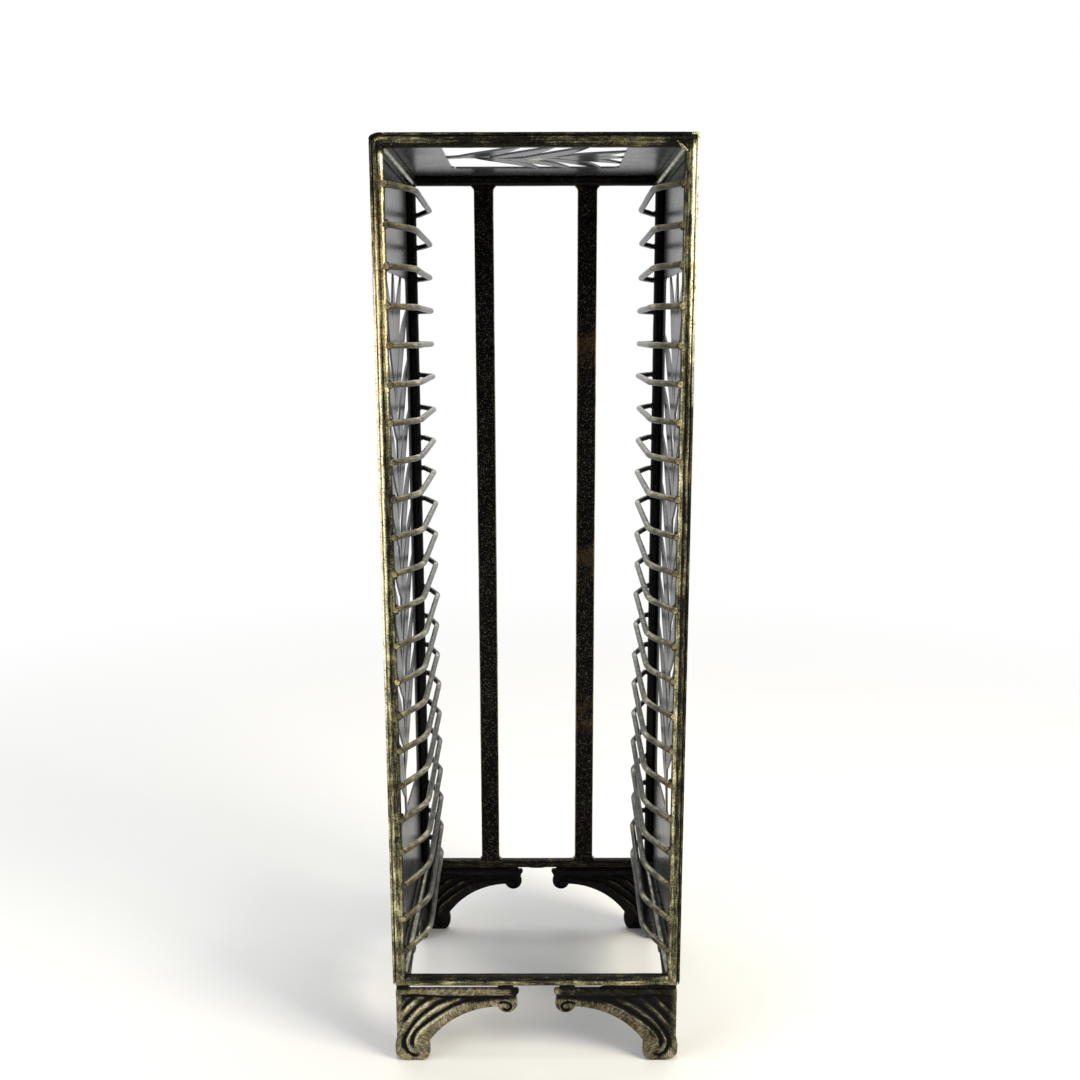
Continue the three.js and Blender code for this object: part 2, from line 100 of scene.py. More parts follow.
# Adds one node: settings are its own properties, and inputs are values, sockets to link from, or
# nodes whose first socket is linked
def addNode(tree, kind, settings=None, inputs=None):
    made = tree.nodes.new("ShaderNode" + kind)
    for key, value in (settings or {}).items():
        setattr(made, key, value)
    for key, value in (inputs or {}).items():
        if isinstance(value, bpy.types.Node):
            value = value.outputs[0]
        if isinstance(value, bpy.types.NodeSocket):
            tree.links.new(value, made.inputs[key])
        else:
            made.inputs[key].default_value = value
    return made


# Numbers and lines

# A lattice of pseudo-random values, blended across each cell with 3f^2 - 2f^3
def valueNoise(points, cell, seed):
    place = points / cell
    corner = np.floor(place).astype(np.int64)
    f = place - corner
    f = f * f * (3 - 2 * f)
    total = np.zeros(len(points))
    for step in np.ndindex(2, 2, 2):
        at = corner + np.array(step)
        mixed = at[:, 0] * 73856093 ^ at[:, 1] * 19349663 ^ at[:, 2] * 83492791 ^ seed * 2654435
        mixed = (mixed ^ (mixed >> 13)) * 1274126177
        value = ((mixed ^ (mixed >> 16)) & 0xFFFF) / 0xFFFF
        weight = np.prod(np.where(np.array(step) == 1, f, 1 - f), axis=1)
        total += weight * value
    return 2 * total - 1


# Noise along a line, t in millimetres
def lineNoise(t, cell, seed, third=0):
    return valueNoise(np.column_stack([t, t * 0, t * 0 + third]), cell, seed)


# Moves every point by noise in x, y and z, by up to size
def uneven(points, size, cell, seed):
    flat = points.reshape(-1, 3)
    moves = [valueNoise(flat, cell, seed + axis) for axis in range(3)]
    return (flat + size * np.stack(moves, axis=1)).reshape(points.shape)


# Distance along a polyline at each of its points
def distances(line):
    return np.append(0, np.cumsum(np.linalg.norm(np.diff(line, axis=0), axis=1)))


# Points at given distances along a flat polyline
def alongLine(line, at):
    return np.stack([np.interp(at, distances(line), line[:, i]) for i in range(2)], axis=1)


# Value at each place from a table of (place, value)
def fromTable(at, table):
    return np.interp(at, *zip(*table))


# Goes from 0 to 1 as value goes from start over the next width
def ramped(value, start, width):
    return np.clip((value - start) / width, 0, 1)


# x, y and z, each spread over the rows and columns of the others, as one grid of points
def pointGrid(x, y, z):
    return np.stack(np.broadcast_arrays(x, y, z), axis=-1)


# Angles round a ring
def ringTurns(sides, start=0):
    return (np.arange(sides) + start) / sides * 2 * np.pi


# Rounded rectangle as points (a, b) round its middle
def roundedSection(width, height, radius, steps=5):
    turns = np.arange(4)[:, None] * np.pi / 2 + np.linspace(0, np.pi / 2, steps)
    signA = np.array([1, -1, -1, 1])[:, None]
    signB = np.array([1, 1, -1, -1])[:, None]
    a = signA * (width / 2 - radius) + radius * np.cos(turns)
    b = signB * (height / 2 - radius) + radius * np.sin(turns)
    return np.stack([a.ravel(), b.ravel()], axis=1)


# Meshes

# Six times the volume within four-sided faces, below zero where they point inwards
def signedVolume(points, quads):
    a, b, c, d = (points[quads[:, i]] for i in range(4))
    return np.einsum("ij,ij->i", np.cross(b - a, c - a) + np.cross(c - a, d - a), a).sum()


# Faces over a grid of points. Columns close on themselves for a tube, and each open end is capped
# by one face. The winding is turned if the volume comes out negative. The flow attribute holds the
# distance along the rows and round the columns, so that a finish can streak along its piece.
def shell(grid, rubAndShading, closeRows=False):
    rows, cols = grid.shape[:2]
    index = np.arange(rows * cols).reshape(rows, cols)
    if closeRows:
        index = np.vstack([index, index[:1]])
    right = np.roll(index, -1, axis=1)
    quads = np.stack([index[:-1], right[:-1], right[1:], index[1:]], axis=-1).reshape(-1, 4)
    faces = quads.tolist()
    if not closeRows:
        faces += [index[0][::-1].tolist(), index[-1].tolist()]
    points = grid.reshape(-1, 3)
    if signedVolume(points, quads) < 0:
        faces = [face[::-1] for face in faces]
    along, around = distances(grid.mean(axis=1)), distances(grid[rows // 2])
    flow = pointGrid(along[:, None], around, grid[0, 0] @ [1.0, 2.3, 3.1])
    return {"points": points, "faces": faces, "flow": flow.reshape(-1, 3),
            "rubAndShading": np.broadcast_to(rubAndShading, (rows, cols)).ravel()}


# One object from shells in millimetres, kept within the CAD box, with the attributes that the
# finishes read, in place of one CAD node
def addPiece(name, shells, finishes, node, sharp=38):
    offsets = np.cumsum([0] + [len(s["points"]) for s in shells])
    points = np.clip(np.vstack([s["points"] for s in shells]) * mm, *cadBox)
    faces = [[v + int(o) for v in f] for s, o in zip(shells, offsets) for f in s["faces"]]
    mesh = bpy.data.meshes.new(name)
    mesh.from_pydata(points.tolist(), [], faces)
    for key in ("rubAndShading", "warm"):
        values = [np.broadcast_to(s.get(key, 0.0), len(s["points"])) for s in shells]
        held = mesh.attributes.new(key, "FLOAT", "POINT")
        held.data.foreach_set("value", np.concatenate(values).astype(np.float32))
    held = mesh.attributes.new("flow", "FLOAT_VECTOR", "POINT")
    flow = np.vstack([s["flow"] for s in shells]) * mm
    held.data.foreach_set("vector", flow.astype(np.float32).ravel())
    mesh.polygons.foreach_set("use_smooth", [True] * len(mesh.polygons))
    mesh.set_sharp_from_angle(angle=math.radians(sharp))
    for finish in finishes:
        mesh.materials.append(finish)
    picks = np.concatenate([np.full(len(s["faces"]), s.get("finish", 0)) for s in shells])
    mesh.polygons.foreach_set("material_index", picks.astype(np.int32))
    mesh.update()
    piece = addObject(name, mesh)
    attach(piece, "root")
    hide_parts(node)


# Welds

weldLook = {
    "rings": 15, "sides": 22, "runSides": 14, "runStep": 0.25, "pulse": 0.14,
    "beadCell": 1.1, "runCell": 0.9, "runWave": 0.12,
}


# Lump of weld: a ball stretched to three half sizes, squared off by a power, with uneven skin
def weldBead(centre, halfSizes, seed, power=0.8, rough=0.16, rubAndShading=0.45):
    v = np.linspace(0.04, np.pi - 0.04, weldLook["rings"])[:, None]
    u = ringTurns(weldLook["sides"])
    ball = pointGrid(np.sin(v) * np.cos(u), np.sin(v) * np.sin(u), np.cos(v))
    grid = np.sign(ball) * np.abs(ball) ** power * np.array(halfSizes) + np.array(centre)
    return shell(uneven(grid, rough, weldLook["beadCell"], seed), rubAndShading)


# Run of weld along a line, its radius pulsing as each drop was laid over the last
def weldRun(start, end, radius, seed, pitch=1.1, rubAndShading=0.5):
    start, end = np.array(start, float), np.array(end, float)
    length = np.linalg.norm(end - start)
    t = np.linspace(0, 1, max(12, int(length / weldLook["runStep"])))
    along = (end - start) / length
    side = np.cross(along, [0.3, 0.5, 0.8])
    side /= np.linalg.norm(side)
    swell = np.sqrt(np.clip(1 - (2 * t - 1) ** 6, 0.02, 1))
    size = radius * swell * (1 + weldLook["pulse"] * np.sin(2 * np.pi * t * length / pitch))
    turn = ringTurns(weldLook["runSides"])[:, None]
    ring = np.cos(turn) * side + np.sin(turn) * np.cross(along, side)
    grid = start + t[:, None, None] * (end - start) + size[:, None, None] * ring
    return shell(uneven(grid, weldLook["runWave"], weldLook["runCell"], seed), rubAndShading)


# Finishes

# Black baking enamel with antique wax rubbed over it by hand. The level read from the mesh is the
# mean level of wax, with painted highlights and painted shade added to it on some pieces, and three
# noises spread it: streaks dragged along the piece, patches and a fine grain. A ramp of tones turns
# the level into bare enamel, a brown film, gold and polished cream, so that painted light shows as
# paler or darker tones. Pits break it up, and specks of spatter lie on the black. The eye sees worn
# edges over dark, uneven faces.
def rubbedFinish(name, look):
    material = bpy.data.materials.new(name)
    tree = emptyTree(material)
    coords = addNode(tree, "TexCoord").outputs["Object"]
    flow, level, extra = (
        addNode(tree, "Attribute", {"attribute_name": key}).outputs[socket]
        for key, socket in (("flow", "Vector"), ("rubAndShading", "Fac"), ("warm", "Fac"))
    )
    noise, soft = {}, {}
    for i, (key, detail) in enumerate(look["detail"].items()):
        vector, scale = (flow, look["drag"]) if key == "streak" else (coords, (1, 1, 1))
        moved = addNode(tree, "Mapping", None,
                        {"Vector": vector, "Location": (3.1 * i,) * 3, "Scale": scale})
        noise[key] = addNode(tree, "TexNoise", None, {
            "Vector": moved, "Scale": 1 / (look[key] * mm), "Detail": detail, "Roughness": 0.6})
    # soft steps make specks, pits and warm patches of three of the noises
    for key, low in (("speck", 0), ("pit", 1), ("warm", 0)):
        start = look[key + "Start"]
        soft[key] = addNode(tree, "MapRange", {"interpolation_type": "SMOOTHSTEP"}, {
            "Value": noise[key], "From Min": start, "From Max": start + look["softness"][key],
            "To Min": low, "To Max": look[key + "Level"]})

    # each noise averages a half, so that half of its share is taken off first
    shares = {key: look[key + "Share"] for key in ("streak", "patch", "grain")}
    half = sum(shares.values()) / 2
    level = addNode(tree, "Math", {"operation": "SUBTRACT"}, {0: level, 1: half})
    for key, share in shares.items():
        level = addNode(tree, "Math", {"operation": "MULTIPLY_ADD"},
                        {0: noise[key], 1: share, 2: level})
    level = addNode(tree, "Math", {"operation": "MAXIMUM"}, {0: level, 1: soft["speck"]})
    level = addNode(tree, "Math", {"operation": "MULTIPLY"}, {0: level, 1: soft["pit"]})

    ramp = addNode(tree, "ValToRGB", None, {"Fac": level})
    stops = ramp.color_ramp.elements
    for place, _ in look["tones"][1:-1]:
        stops.new(place)
    for stop, (_, code) in zip(stops, look["tones"]):
        stop.color = srgb(code)
    warm = addNode(tree, "Math", {"operation": "ADD", "use_clamp": True},
                   {0: soft["warm"], 1: extra})
    colour = addNode(tree, "Mix", {"data_type": "RGBA", "blend_type": "MULTIPLY"},
                     {0: warm, 6: ramp, 7: srgb(look["tint"])})
    metallic = addNode(tree, "MapRange", None, {
        "Value": level, "From Min": 0.2, "From Max": 0.7, "To Max": look["metal"]})
    dull = addNode(tree, "Math", {"operation": "ADD"}, {0: noise["grain"], 1: noise["patch"]})
    rough = addNode(tree, "MapRange", None, {
        "Value": dull, "From Min": 0.7, "From Max": 1.3,
        "To Min": look["roughLow"], "To Max": look["roughHigh"]})
    height = addNode(tree, "Math", {"operation": "MULTIPLY_ADD"},
                     {0: level, 1: 0.4, 2: noise["grain"]})
    height = addNode(tree, "Math", {"operation": "ADD"}, {0: height, 1: noise["streak"]})
    bump = addNode(tree, "Bump", None,
                   {"Strength": look["bump"], "Distance": look["bumpDepth"] * mm, "Height": height})
    shader = addNode(tree, "BsdfPrincipled", None, {
        "Base Color": colour.outputs[2], "Metallic": metallic, "Roughness": rough,
        "Normal": bump, "Specular IOR Level": look["gloss"]})
    addNode(tree, "OutputMaterial", None, {"Surface": shader})
    return material


# Noise sizes in millimetres; drag is how far a streak is pulled out along the piece and round it
rubbedLook = {
    "detail": {"streak": 3, "patch": 3, "grain": 3, "speck": 1, "pit": 2, "warm": 2},
    "streak": 1.0, "patch": 11.0, "grain": 0.8, "speck": 0.6, "pit": 0.9, "warm": 8.0,
    "drag": (0.09, 1, 1), "streakShare": 1.3, "patchShare": 1.0, "grainShare": 0.9,
    "speckStart": 0.6, "pitStart": 0.56, "warmStart": 0.46,
    "softness": {"speck": 0.08, "pit": 0.14, "warm": 0.16},
    "speckLevel": 0.4, "pitLevel": 0.35, "warmLevel": 0.6,
    "tones": [(0, "#040403"), (0.3, "#16150e"), (0.55, "#5d5a43"), (0.8, "#a8a37e"),
              (1, "#efe8bf")],
    "tint": "#f4e4d4", "metal": 0.7, "gloss": 0.1, "roughLow": 0.32, "roughHigh": 0.5, "bump": 0.4,
    "bumpDepth": 0.15,
}
barFinish = rubbedFinish("Gold rubbed enamel on square bar", rubbedLook)
# The sheets' front edges are rubbed through to pale, dull wax, and painted near white where they
# catch the light, as a painted highlight
edgeFinish = rubbedFinish("Pale wax and painted highlight on a sheet's edge", {
    **rubbedLook, "metal": 0.25,
    "tones": [*rubbedLook["tones"][:3], (0.8, "#b4b08e"), (1, "#fdf8e2")],
})
# Thin gold was flicked over the strips' black, which gives a fine speckle with hardly any sheen
stripFinish = rubbedFinish("Black enamel with gold speckle on flat strip", {
    **rubbedLook, "drag": (0.16, 1, 1), "streakShare": 0.6, "patchShare": 0.7, "speck": 0.8,
    "speckStart": 0.58, "speckLevel": 0.7, "gloss": 0.06, "roughHigh": 0.6, "warmLevel": 0.2,
    "tones": [(0, "#040404"), (0.3, "#100f0d"), (0.6, "#48443a"), (1, "#9a927c")],
    "tint": "#f4ccae",
})
# Pewter wax along the runs turns to gold near the front ends, where the hand pressed most
wireFinish = rubbedFinish("Pewter and gold wax on round wire", {
    **rubbedLook, "streak": 0.8, "grain": 0.7, "patch": 7.0, "warm": 5.0, "warmLevel": 0.3,
    "drag": (0.12, 1, 1), "grainShare": 0.6, "speckStart": 0.8, "pitLevel": 0.8, "gloss": 0.35,
    "tones": [(0, "#080807"), (0.3, "#2b2a26"), (0.6, "#6d6d61"), (0.85, "#a4a490"),
              (1, "#dedac6")], "tint": "#f2e2bc", "roughLow": 0.26, "roughHigh": 0.4, "bump": 0.3,
})
# Wax stroked over the raised ribs of sand-cast iron, which leaves its grooves black and rough
castFinish = rubbedFinish("Olive brass wax over black cast iron", {
    **rubbedLook, "streak": 0.8, "drag": (0.22, 1, 1), "grain": 0.7, "patch": 9.0,
    "streakShare": 1.1, "patchShare": 0.8, "grainShare": 0.8, "speckStart": 0.7, "metal": 0.55,
    "tones": [(0, "#040403"), (0.3, "#1a1913"), (0.6, "#605b48"), (0.85, "#989178"),
              (1, "#cac4aa")], "tint": "#f3e3c9", "roughLow": 0.4, "roughHigh": 0.56, "bump": 0.8,
})
# Satin grey lacquer sprayed on sheet steel, with a broad soft sheen and faint clouds
panelFinish = rubbedFinish("Satin grey lacquer on sheet steel", {
    **rubbedLook, "streakShare": 0.2, "patchShare": 1.6, "grainShare": 0.3, "patch": 16.0,
    "grain": 1.2, "tones": [(0, "#3b3c3e"), (1, "#484847")], "speckLevel": 0.0, "pitLevel": 1.0,
    "warmLevel": 0.0, "metal": 0.0, "roughLow": 0.24, "roughHigh": 0.32, "bump": 0.05,
    "gloss": 0.45,
})
print("finishes made")


# Square bar

barLook = {
    "edge": 2.0, "hollow": 0.12, "stationStep": 3.0, "railStep": 3.4, "wave": 0.09, "waveCell": 9.0,
    "bentRadius": 4.0, "topFrom": 300, "railBare": -0.15, "railWax": 0.95,
    "drop": (7.2, 2.0, 1.15), "knot": (1.5, 1.8, 1.5), "railBead": (1.5, 1.2, 1.9),
    # copper shows through high on the left upright, as (height, strength)
    "copper": [(405, 0), (425, 1), (495, 1), (512, 0)],
    # welds at the front frame's corners: side, corner, start and end from it, radius, seed, wax
    "seams": [
        (1, "innerHigh", (-5.2, 0.7, 3.4), (1.8, 0.7, -2.6), 0.75, 31, 0.75),
        (1, "innerLow", (-1.2, 1.0, 0.3), (0.4, 1.0, -3.5), 1.1, 32, 0.7),
        (-1, "innerLow", (0.2, 0.75, 0.8), (0.1, 0.75, -5.2), 0.7, 33, 0.2),
        (-1, "innerHigh", (5.6, 0.42, 5.0), (4.2, 0.42, 0.8), 0.5, 34, 0.65),
    ],
}


# Rounded square with its flats hollowed a little between the corners
def barSection():
    size = bar["size"]
    corners = roundedSection(size, size, barLook["edge"], 6).reshape(4, 6, 2)
    t = np.linspace(0, 1, 7)[1:-1, None]
    flats = corners[:, -1:] * (1 - t) + np.roll(corners, -1, axis=0)[:, :1] * t
    flats *= 1 - 2 * barLook["hollow"] / size * np.sin(np.pi * t)
    return np.concatenate([corners, flats], axis=1).reshape(-1, 2)


# Level of wax and painted light on the upright, top and low bars of a frame: on the middle of the
# face that looks out, on its inner and outer corners, in the seam beside it, on the sheet's edge
# and away on the other faces, each as (millimetres along it, level). On the front frame the levels
# are
# partly wax and partly painted light: the rounded edges that face the light from the right, and
# high up the left upright's outer edge and sheet edge, are painted bright as highlights, and
# corners that turn from the light are painted dark as shade. The dip is where the middle lies, from
# -1 inside to
# 1 outside, and wide is how far it spreads.
frontWaxAndShading = {
    "left": {
        "away": -0.3, "dip": 0.04, "wide": 0,
        "face": [(49, 0.55), (105, 0.55), (167, 0.35), (285, 0.3), (341, 0.25), (395, 0.4),
                 (447, 0.5), (467, 0.6), (488, 0.4), (508, 0.6), (518, 0.35), (521, 0.3), (523, 0),
                 (525, 0), (526, 0.3)],
        "inner": [(49, 0.7), (105, 0.65), (167, 0.35), (285, 0.5), (335, 0.25), (395, 0.8),
                  (447, 0.85), (488, 0.9), (508, 0.8), (520, 1.1), (522, 0.1), (525, 0),
                  (526, 0.3)],
        "outer": [(49, 0.7), (105, 0.85), (167, 0.6), (227, 0.75), (285, 0.95), (341, 1.15),
                  (467, 1.1), (490, 0.6), (518, 0.5), (531, 0.25)],
        "seam": [(49, 0.3), (105, 0.5), (227, 0.6), (341, 0.9), (400, 0.9), (421, 0.4), (447, 0.9),
                 (467, 1), (490, 0.3), (518, 0), (531, -0.1)],
        "sheet": [(49, 0.6), (105, 0.75), (167, 0.65), (227, 0.85), (285, 1.1), (430, 1.15),
                  (447, 1), (467, 0.9), (488, 0.5), (508, 0.45), (531, 0.05)],
    },
    "right": {
        "away": -0.3, "dip": 0, "wide": 0,
        "face": [(49, 0.55), (105, 0.5), (167, 0.25), (285, 0.2), (341, 0.2), (395, 0.15),
                 (447, 0.3), (480, 0.35), (498, 0.6), (515, 0.55), (531, 0.4)],
        "inner": [(49, 0.6), (105, 0.6), (167, 0.8), (227, 0.8), (285, 0.55), (341, 0.85),
                  (395, 0.6), (447, 0.65), (495, 0.5), (531, 0.3)],
        "outer": [(49, 0.5), (105, 0.55), (167, 0.4), (285, 0.45), (341, 0.55), (395, 0.5),
                  (420, 0.65), (447, 0.95), (495, 1.1), (531, 1.1)],
        "seam": [(49, 0), (105, 0.1), (167, -0.1), (390, -0.1), (447, 0.4), (467, 0.7), (477, 0.6),
                 (488, 0.9), (498, 1.2), (531, 1.2)],
        "sheet": [(49, 0.3), (105, 0.35), (341, 0.3), (385, 0.5), (410, 0.85), (447, 0.95),
                  (495, 1.15), (531, 1.15)],
    },
    "top": {
        "away": 0, "dip": 0.12, "wide": 0.25,
        "outer": [(-80, 0.2), (-55, 0), (85, 0)],
        "face": [(-85, 0.65), (-62, 0.6), (-50, 0.25), (-10, 0.2), (10, 0.35), (40, 0.5),
                 (64, 0.6), (70, 0.15)],
        "inner": [(-85, 0.1), (-50, 0.05), (0, 0.1), (30, 0.35), (64, 0.4), (70, 0)],
        "sheet": [(-85, 0.5), (-40, 0.35), (0, 0.25), (85, 0.05)],
    },
    "low": {
        "away": 0.15, "dip": 0.25, "wide": 0.3,
        "face": [(-78, 0.6), (-60, 0.55), (-20, 0.6), (0, 0.45), (20, 0.6), (60, 0.65),
                 (78, 0.55)],
        "inner": [(-78, 0.35), (-60, 0.2), (60, 0.2), (70, 0.45)],
        "outer": [(-78, 0.5), (-50, 0.7), (0, 0.55), (60, 0.7), (78, 0.6)],
    },
}
plainWax = {
    "away": -0.3, "dip": 0.0, "wide": 0.0, "face": [(0, 0.3)], "inner": [(0, 0.6)],
    "outer": [(0, 0.6)], "seam": [(0, 0.5)], "sheet": [(0, 0.5)],
}
rearWax = {
    "left": plainWax, "right": plainWax,
    "top": {**plainWax, "away": 0.05}, "low": {**plainWax, "away": 0.25},
}


# Wax and painted light round the section: the face's level turns into the inner or outer corner's
# as
# |a - dip| + |b| rises by 0.3, and all of it fades to the away level where the face turns from the
# way it looks
def barWaxAndShading(section, along, look, facing):
    a, b = section.T / (bar["size"] / 2)
    corner = ramped(np.abs(a - look["dip"]) - look["wide"] + np.abs(b), 1.08, 0.3)
    out = np.clip(facing * b * 1.6 - 0.2, 0, 1)
    inner, outer, face = (fromTable(along, look[key]) for key in ("inner", "outer", "face"))
    level = corner * np.where(a > look["dip"], outer, inner) + (1 - corner) * face
    return look["away"] + (level - look["away"]) * out


# Frame of bar: each station is a point on the frame's inner edge and a direction to its outer edge,
# and the section is carried round them. Mitres stretch the direction by the root of two. The bent
# corner fans out from the inner edge to a quarter circle.
def barFrame(y, looks, facing, seed):
    size, step, bent = bar["size"], barLook["stationStep"], barLook["bentRadius"]
    inX, lowZ, highZ = bar["innerX"], bar["innerLow"], bar["innerHigh"]
    fan = np.linspace(0, np.pi / 2, 13)
    gap = size - bent
    toArc = gap * (np.cos(fan) + np.sin(fan))
    toArc = toArc + np.sqrt(toArc ** 2 - 2 * gap ** 2 + bent ** 2)
    flat = size / np.maximum(np.cos(fan), np.sin(fan))
    stretch = np.where(np.minimum(np.cos(fan), np.sin(fan)) * flat < gap, flat, toArc)
    bend = (np.stack([-np.cos(fan), np.sin(fan)], axis=1) * stretch[:, None])[::-1]
    across = np.arange(-inX, inX, step)[1:]
    upward = np.arange(lowZ, highZ, step)[1:]
    # a corner with its directions, then the bar after it with its own, and so on round the frame
    legs = [
        ((-inX, lowZ), [(-size, -size)], (across, lowZ), (0, -size)),
        ((inX, lowZ), [(size, -size)], (inX, upward), (size, 0)),
        ((inX, highZ), [(size, size)], (across[::-1], highZ), (0, size)),
        ((-inX, highZ), bend, (-inX, upward[::-1]), (-size, 0)),
    ]
    places, reach = [], []
    for corner, fanned, run, outward in legs:
        run = np.stack(np.broadcast_arrays(*run), axis=1)
        places += [np.tile(corner, (len(fanned), 1)), run]
        reach += [fanned, np.tile(outward, (len(run), 1))]
    section = barSection()
    share = section[:, 0, None] / size + 0.5
    flatGrid = np.vstack(places)[:, None] + share * np.vstack(reach)[:, None]
    grid = pointGrid(flatGrid[..., 0], y + section[:, 1], flatGrid[..., 1])
    grid = uneven(grid, barLook["wave"], barLook["waveCell"], seed)
    x, z = grid[..., 0], grid[..., 2]
    top, low, left, right = (
        barWaxAndShading(section, along, looks[key], facing)
        for key, along in (("top", x), ("low", x), ("left", z), ("right", z))
    )
    rubAndShading = np.where(z > barLook["topFrom"], top, low)
    upright = np.clip((np.abs(x) - inX + 0.6) * 2, 0, 1) * (z > lowZ - 3) * (z < highZ + 3)
    return shell(grid, rubAndShading + upright * (np.where(x < 0, left, right) - rubAndShading), closeRows=True)


# Straight bar from front to back, waxed over its rounded edges and left black on its flats
def sideRail(x, z, seed):
    section = barSection()
    inset = bar["size"] - 0.4
    ys = np.arange(bar["frontY"] + inset, bar["rearY"] - inset, barLook["railStep"])
    grid = pointGrid(x + section[:, 0], ys[:, None], z + section[:, 1])
    corner = ramped(np.abs(section).sum(axis=1) / (bar["size"] / 2), 1.12, 0.3)
    return shell(uneven(grid, barLook["wave"], barLook["waveCell"], seed),
                 barLook["railBare"] + barLook["railWax"] * corner)


def addBars():
    half, inX, rear = bar["size"] / 2, bar["innerX"], bar["rearY"]
    lowZ, highZ = bar["innerLow"], bar["innerHigh"]
    seams = []
    for side, level, start, end, radius, seed, rubAndShading in barLook["seams"]:
        corner = np.array([side * inX, bar["frontY"], bar[level]])
        seams.append(weldRun(corner + start, corner + end, radius, seed, rubAndShading=rubAndShading))
    frontBar = barFrame(bar["frontY"] + half, frontWaxAndShading, -1, 3)
    x, _, z = frontBar["points"].T
    frontBar["warm"] = fromTable(z, barLook["copper"]) * (x < 0)
    addPiece("frontFrameBar", [frontBar, *seams], [barFinish], "front_frame")
    drop = weldBead((0, rear - half, bar["lowZ"] + 0.4), barLook["drop"], 41, rubAndShading=0.35)
    knots = [
        weldBead((side * inX, rear - half, z), barLook["knot"], 42 + i, rubAndShading=0.1)
        for i, (side, z) in enumerate([(1, lowZ), (-1, lowZ), (1, highZ)])
    ]
    rearBar = barFrame(rear - half, rearWax, 1, 5)
    addPiece("rearFrameBar", [rearBar, drop, *knots], [barFinish], "rear_frame")
    for level, inward in (("bottom", 1), ("top", -1)):
        for side, sign in bothSides:
            node = f"side_rail_{level}_{side}"
            low, high = nodeBox(node)
            x, _, z = (low + high) / 2
            beads = [
                weldBead((x - sign * 2.6, y, z + inward * 1.2), barLook["railBead"], 50 + i,
                         rubAndShading=0.25)
                for i, y in enumerate((low[1] + 0.2, high[1] - 0.2))
            ]
            rail = sideRail(x, z, 60 + sign + len(level))
            name = f"sideRail{level.title()}{side.title()}"
            addPiece(name, [rail, *beads], [wireFinish], node)


addBars()
print("bars made")


# Back strips

stripLook = {
    "width": 12.7, "edge": 0.6, "flare": 1.8, "flareRise": 1.5, "step": 4.0, "sectionStep": 0.6,
    "ends": [0.0, 0.3, 0.6, 1.0, 1.5, 2.1, 3.0, 5.0], "wave": 0.1, "waveCell": 11.0,
    "bare": 0.02, "edgeWax": 1.1, "lowWax": 0.07, "highWax": -0.05, "copperWax": 0.52,
    # copper shows through the gold in patches up the right strip, as (height, strength)
    "copper": [(60, 0.3), (90, 0.3), (110, 0), (148, 0), (158, 0.8), (172, 0.9), (184, 0),
               (256, 0), (266, 0.8), (290, 0.9), (300, 0), (394, 0), (405, 0.6), (415, 0.7),
               (428, 1), (438, 0), (500, 0), (510, 0.3)],
}


# Flat strip: its half width grows towards both ends as flare times exp(-(distance / rise)^2)
def addStrips():
    half = stripLook["width"] / 2
    for side, _ in bothSides:
        node = f"back_strip_{side}"
        low, high = nodeBox(node)
        x, y, _ = (low + high) / 2
        length = high[2] - low[2]
        ends = np.array(stripLook["ends"])
        middle = np.arange(8.0, length - 6, stripLook["step"])
        zs = np.concatenate([ends, middle, length - ends[::-1]])
        near = np.minimum(zs, length - zs)
        grow = 1 + stripLook["flare"] / half * np.exp(-(near / stripLook["flareRise"]) ** 2)
        section = roundedSection(2 * half, high[1] - low[1], stripLook["edge"], 4)
        loop = np.vstack([section, section[:1]])
        # points are added round it, so that its edges can be pale
        far = distances(loop)
        added = np.arange(0, far[-1], stripLook["sectionStep"])
        section = alongLine(loop, np.unique(np.round(np.concatenate([far[:-1], added]), 3)))
        grid = pointGrid(x + grow[:, None] * section[:, 0], y + section[:, 1], low[2] + zs[:, None])
        edge = ramped(np.abs(section[:, 0]) / half, 0.86, 0.12)
        grid = uneven(grid, stripLook["wave"], stripLook["waveCell"], 71 + len(side))
        strip = shell(grid, stripLook["edgeWax"] * edge + stripLook["bare"])
        height = strip["points"][:, 2]
        strip["rubAndShading"] = (strip["rubAndShading"] + stripLook["lowWax"] * ramped(-height, -420, 150)
                        + stripLook["highWax"] * (height > 430))
        if side == "right":
            blotch = np.clip(0.85 + valueNoise(strip["points"], 6.0, 77), 0, 1)
            strip["warm"] = fromTable(height, stripLook["copper"]) * blotch
            strip["rubAndShading"] = strip["rubAndShading"] + stripLook["copperWax"] * strip["warm"]
        addPiece(f"backStrip{side.title()}", [strip], [stripFinish], node)


addStrips()
print("strips made")


# Rest wires

wireLook = {
    "radius": 1.75, "sides": 16, "step": 1.7, "ends": 77.6, "frontSetback": 0.03,
    "rearSetback": 3.2, "frontBend": 25.0, "rearBend": 27.6, "frontLedge": 13.1, "rearLedge": 11.2,
    "frontRadius": 38.0, "radiusDrift": 5, "rearRadius": 14.0, "pathStep": 0.8,
    "headSpread": 0.19, "headLength": 1.1, "wave": 0.07, "waveCell": 6.0,
    "sag": 0.22, "sagCell": 34.0, "frontBead": (1.5, 2.0, 2.4), "rearBead": (1.3, 2.0, 1.9),
    # change of the level on a wire's underside, a painted shade, and on its top, a painted
    # highlight, and the wax's level on the cut head
    "under": -0.6, "over": 0.3, "headWax": 0.76,
    # how far one wire may differ from the next
    "drift": {"ledge": 0.5, "frontLift": 0.45, "rearLift": 0.45, "end": 0.5, "bend": 1.0},
    # wax and gold along a wire, with painted highlights on its front and rear bends, as
    # (millimetres behind the front, level)
    "waxAndLight": [(0, 0.9), (2, 0.82), (18, 0.8), (24, 0.95), (30, 0.75), (60, 0.74), (112, 0.74),
            (120, 0.95), (128, -0.1), (150, -0.2)],
    "run": [(20, 0), (40, 1), (110, 1), (130, 0)],
}


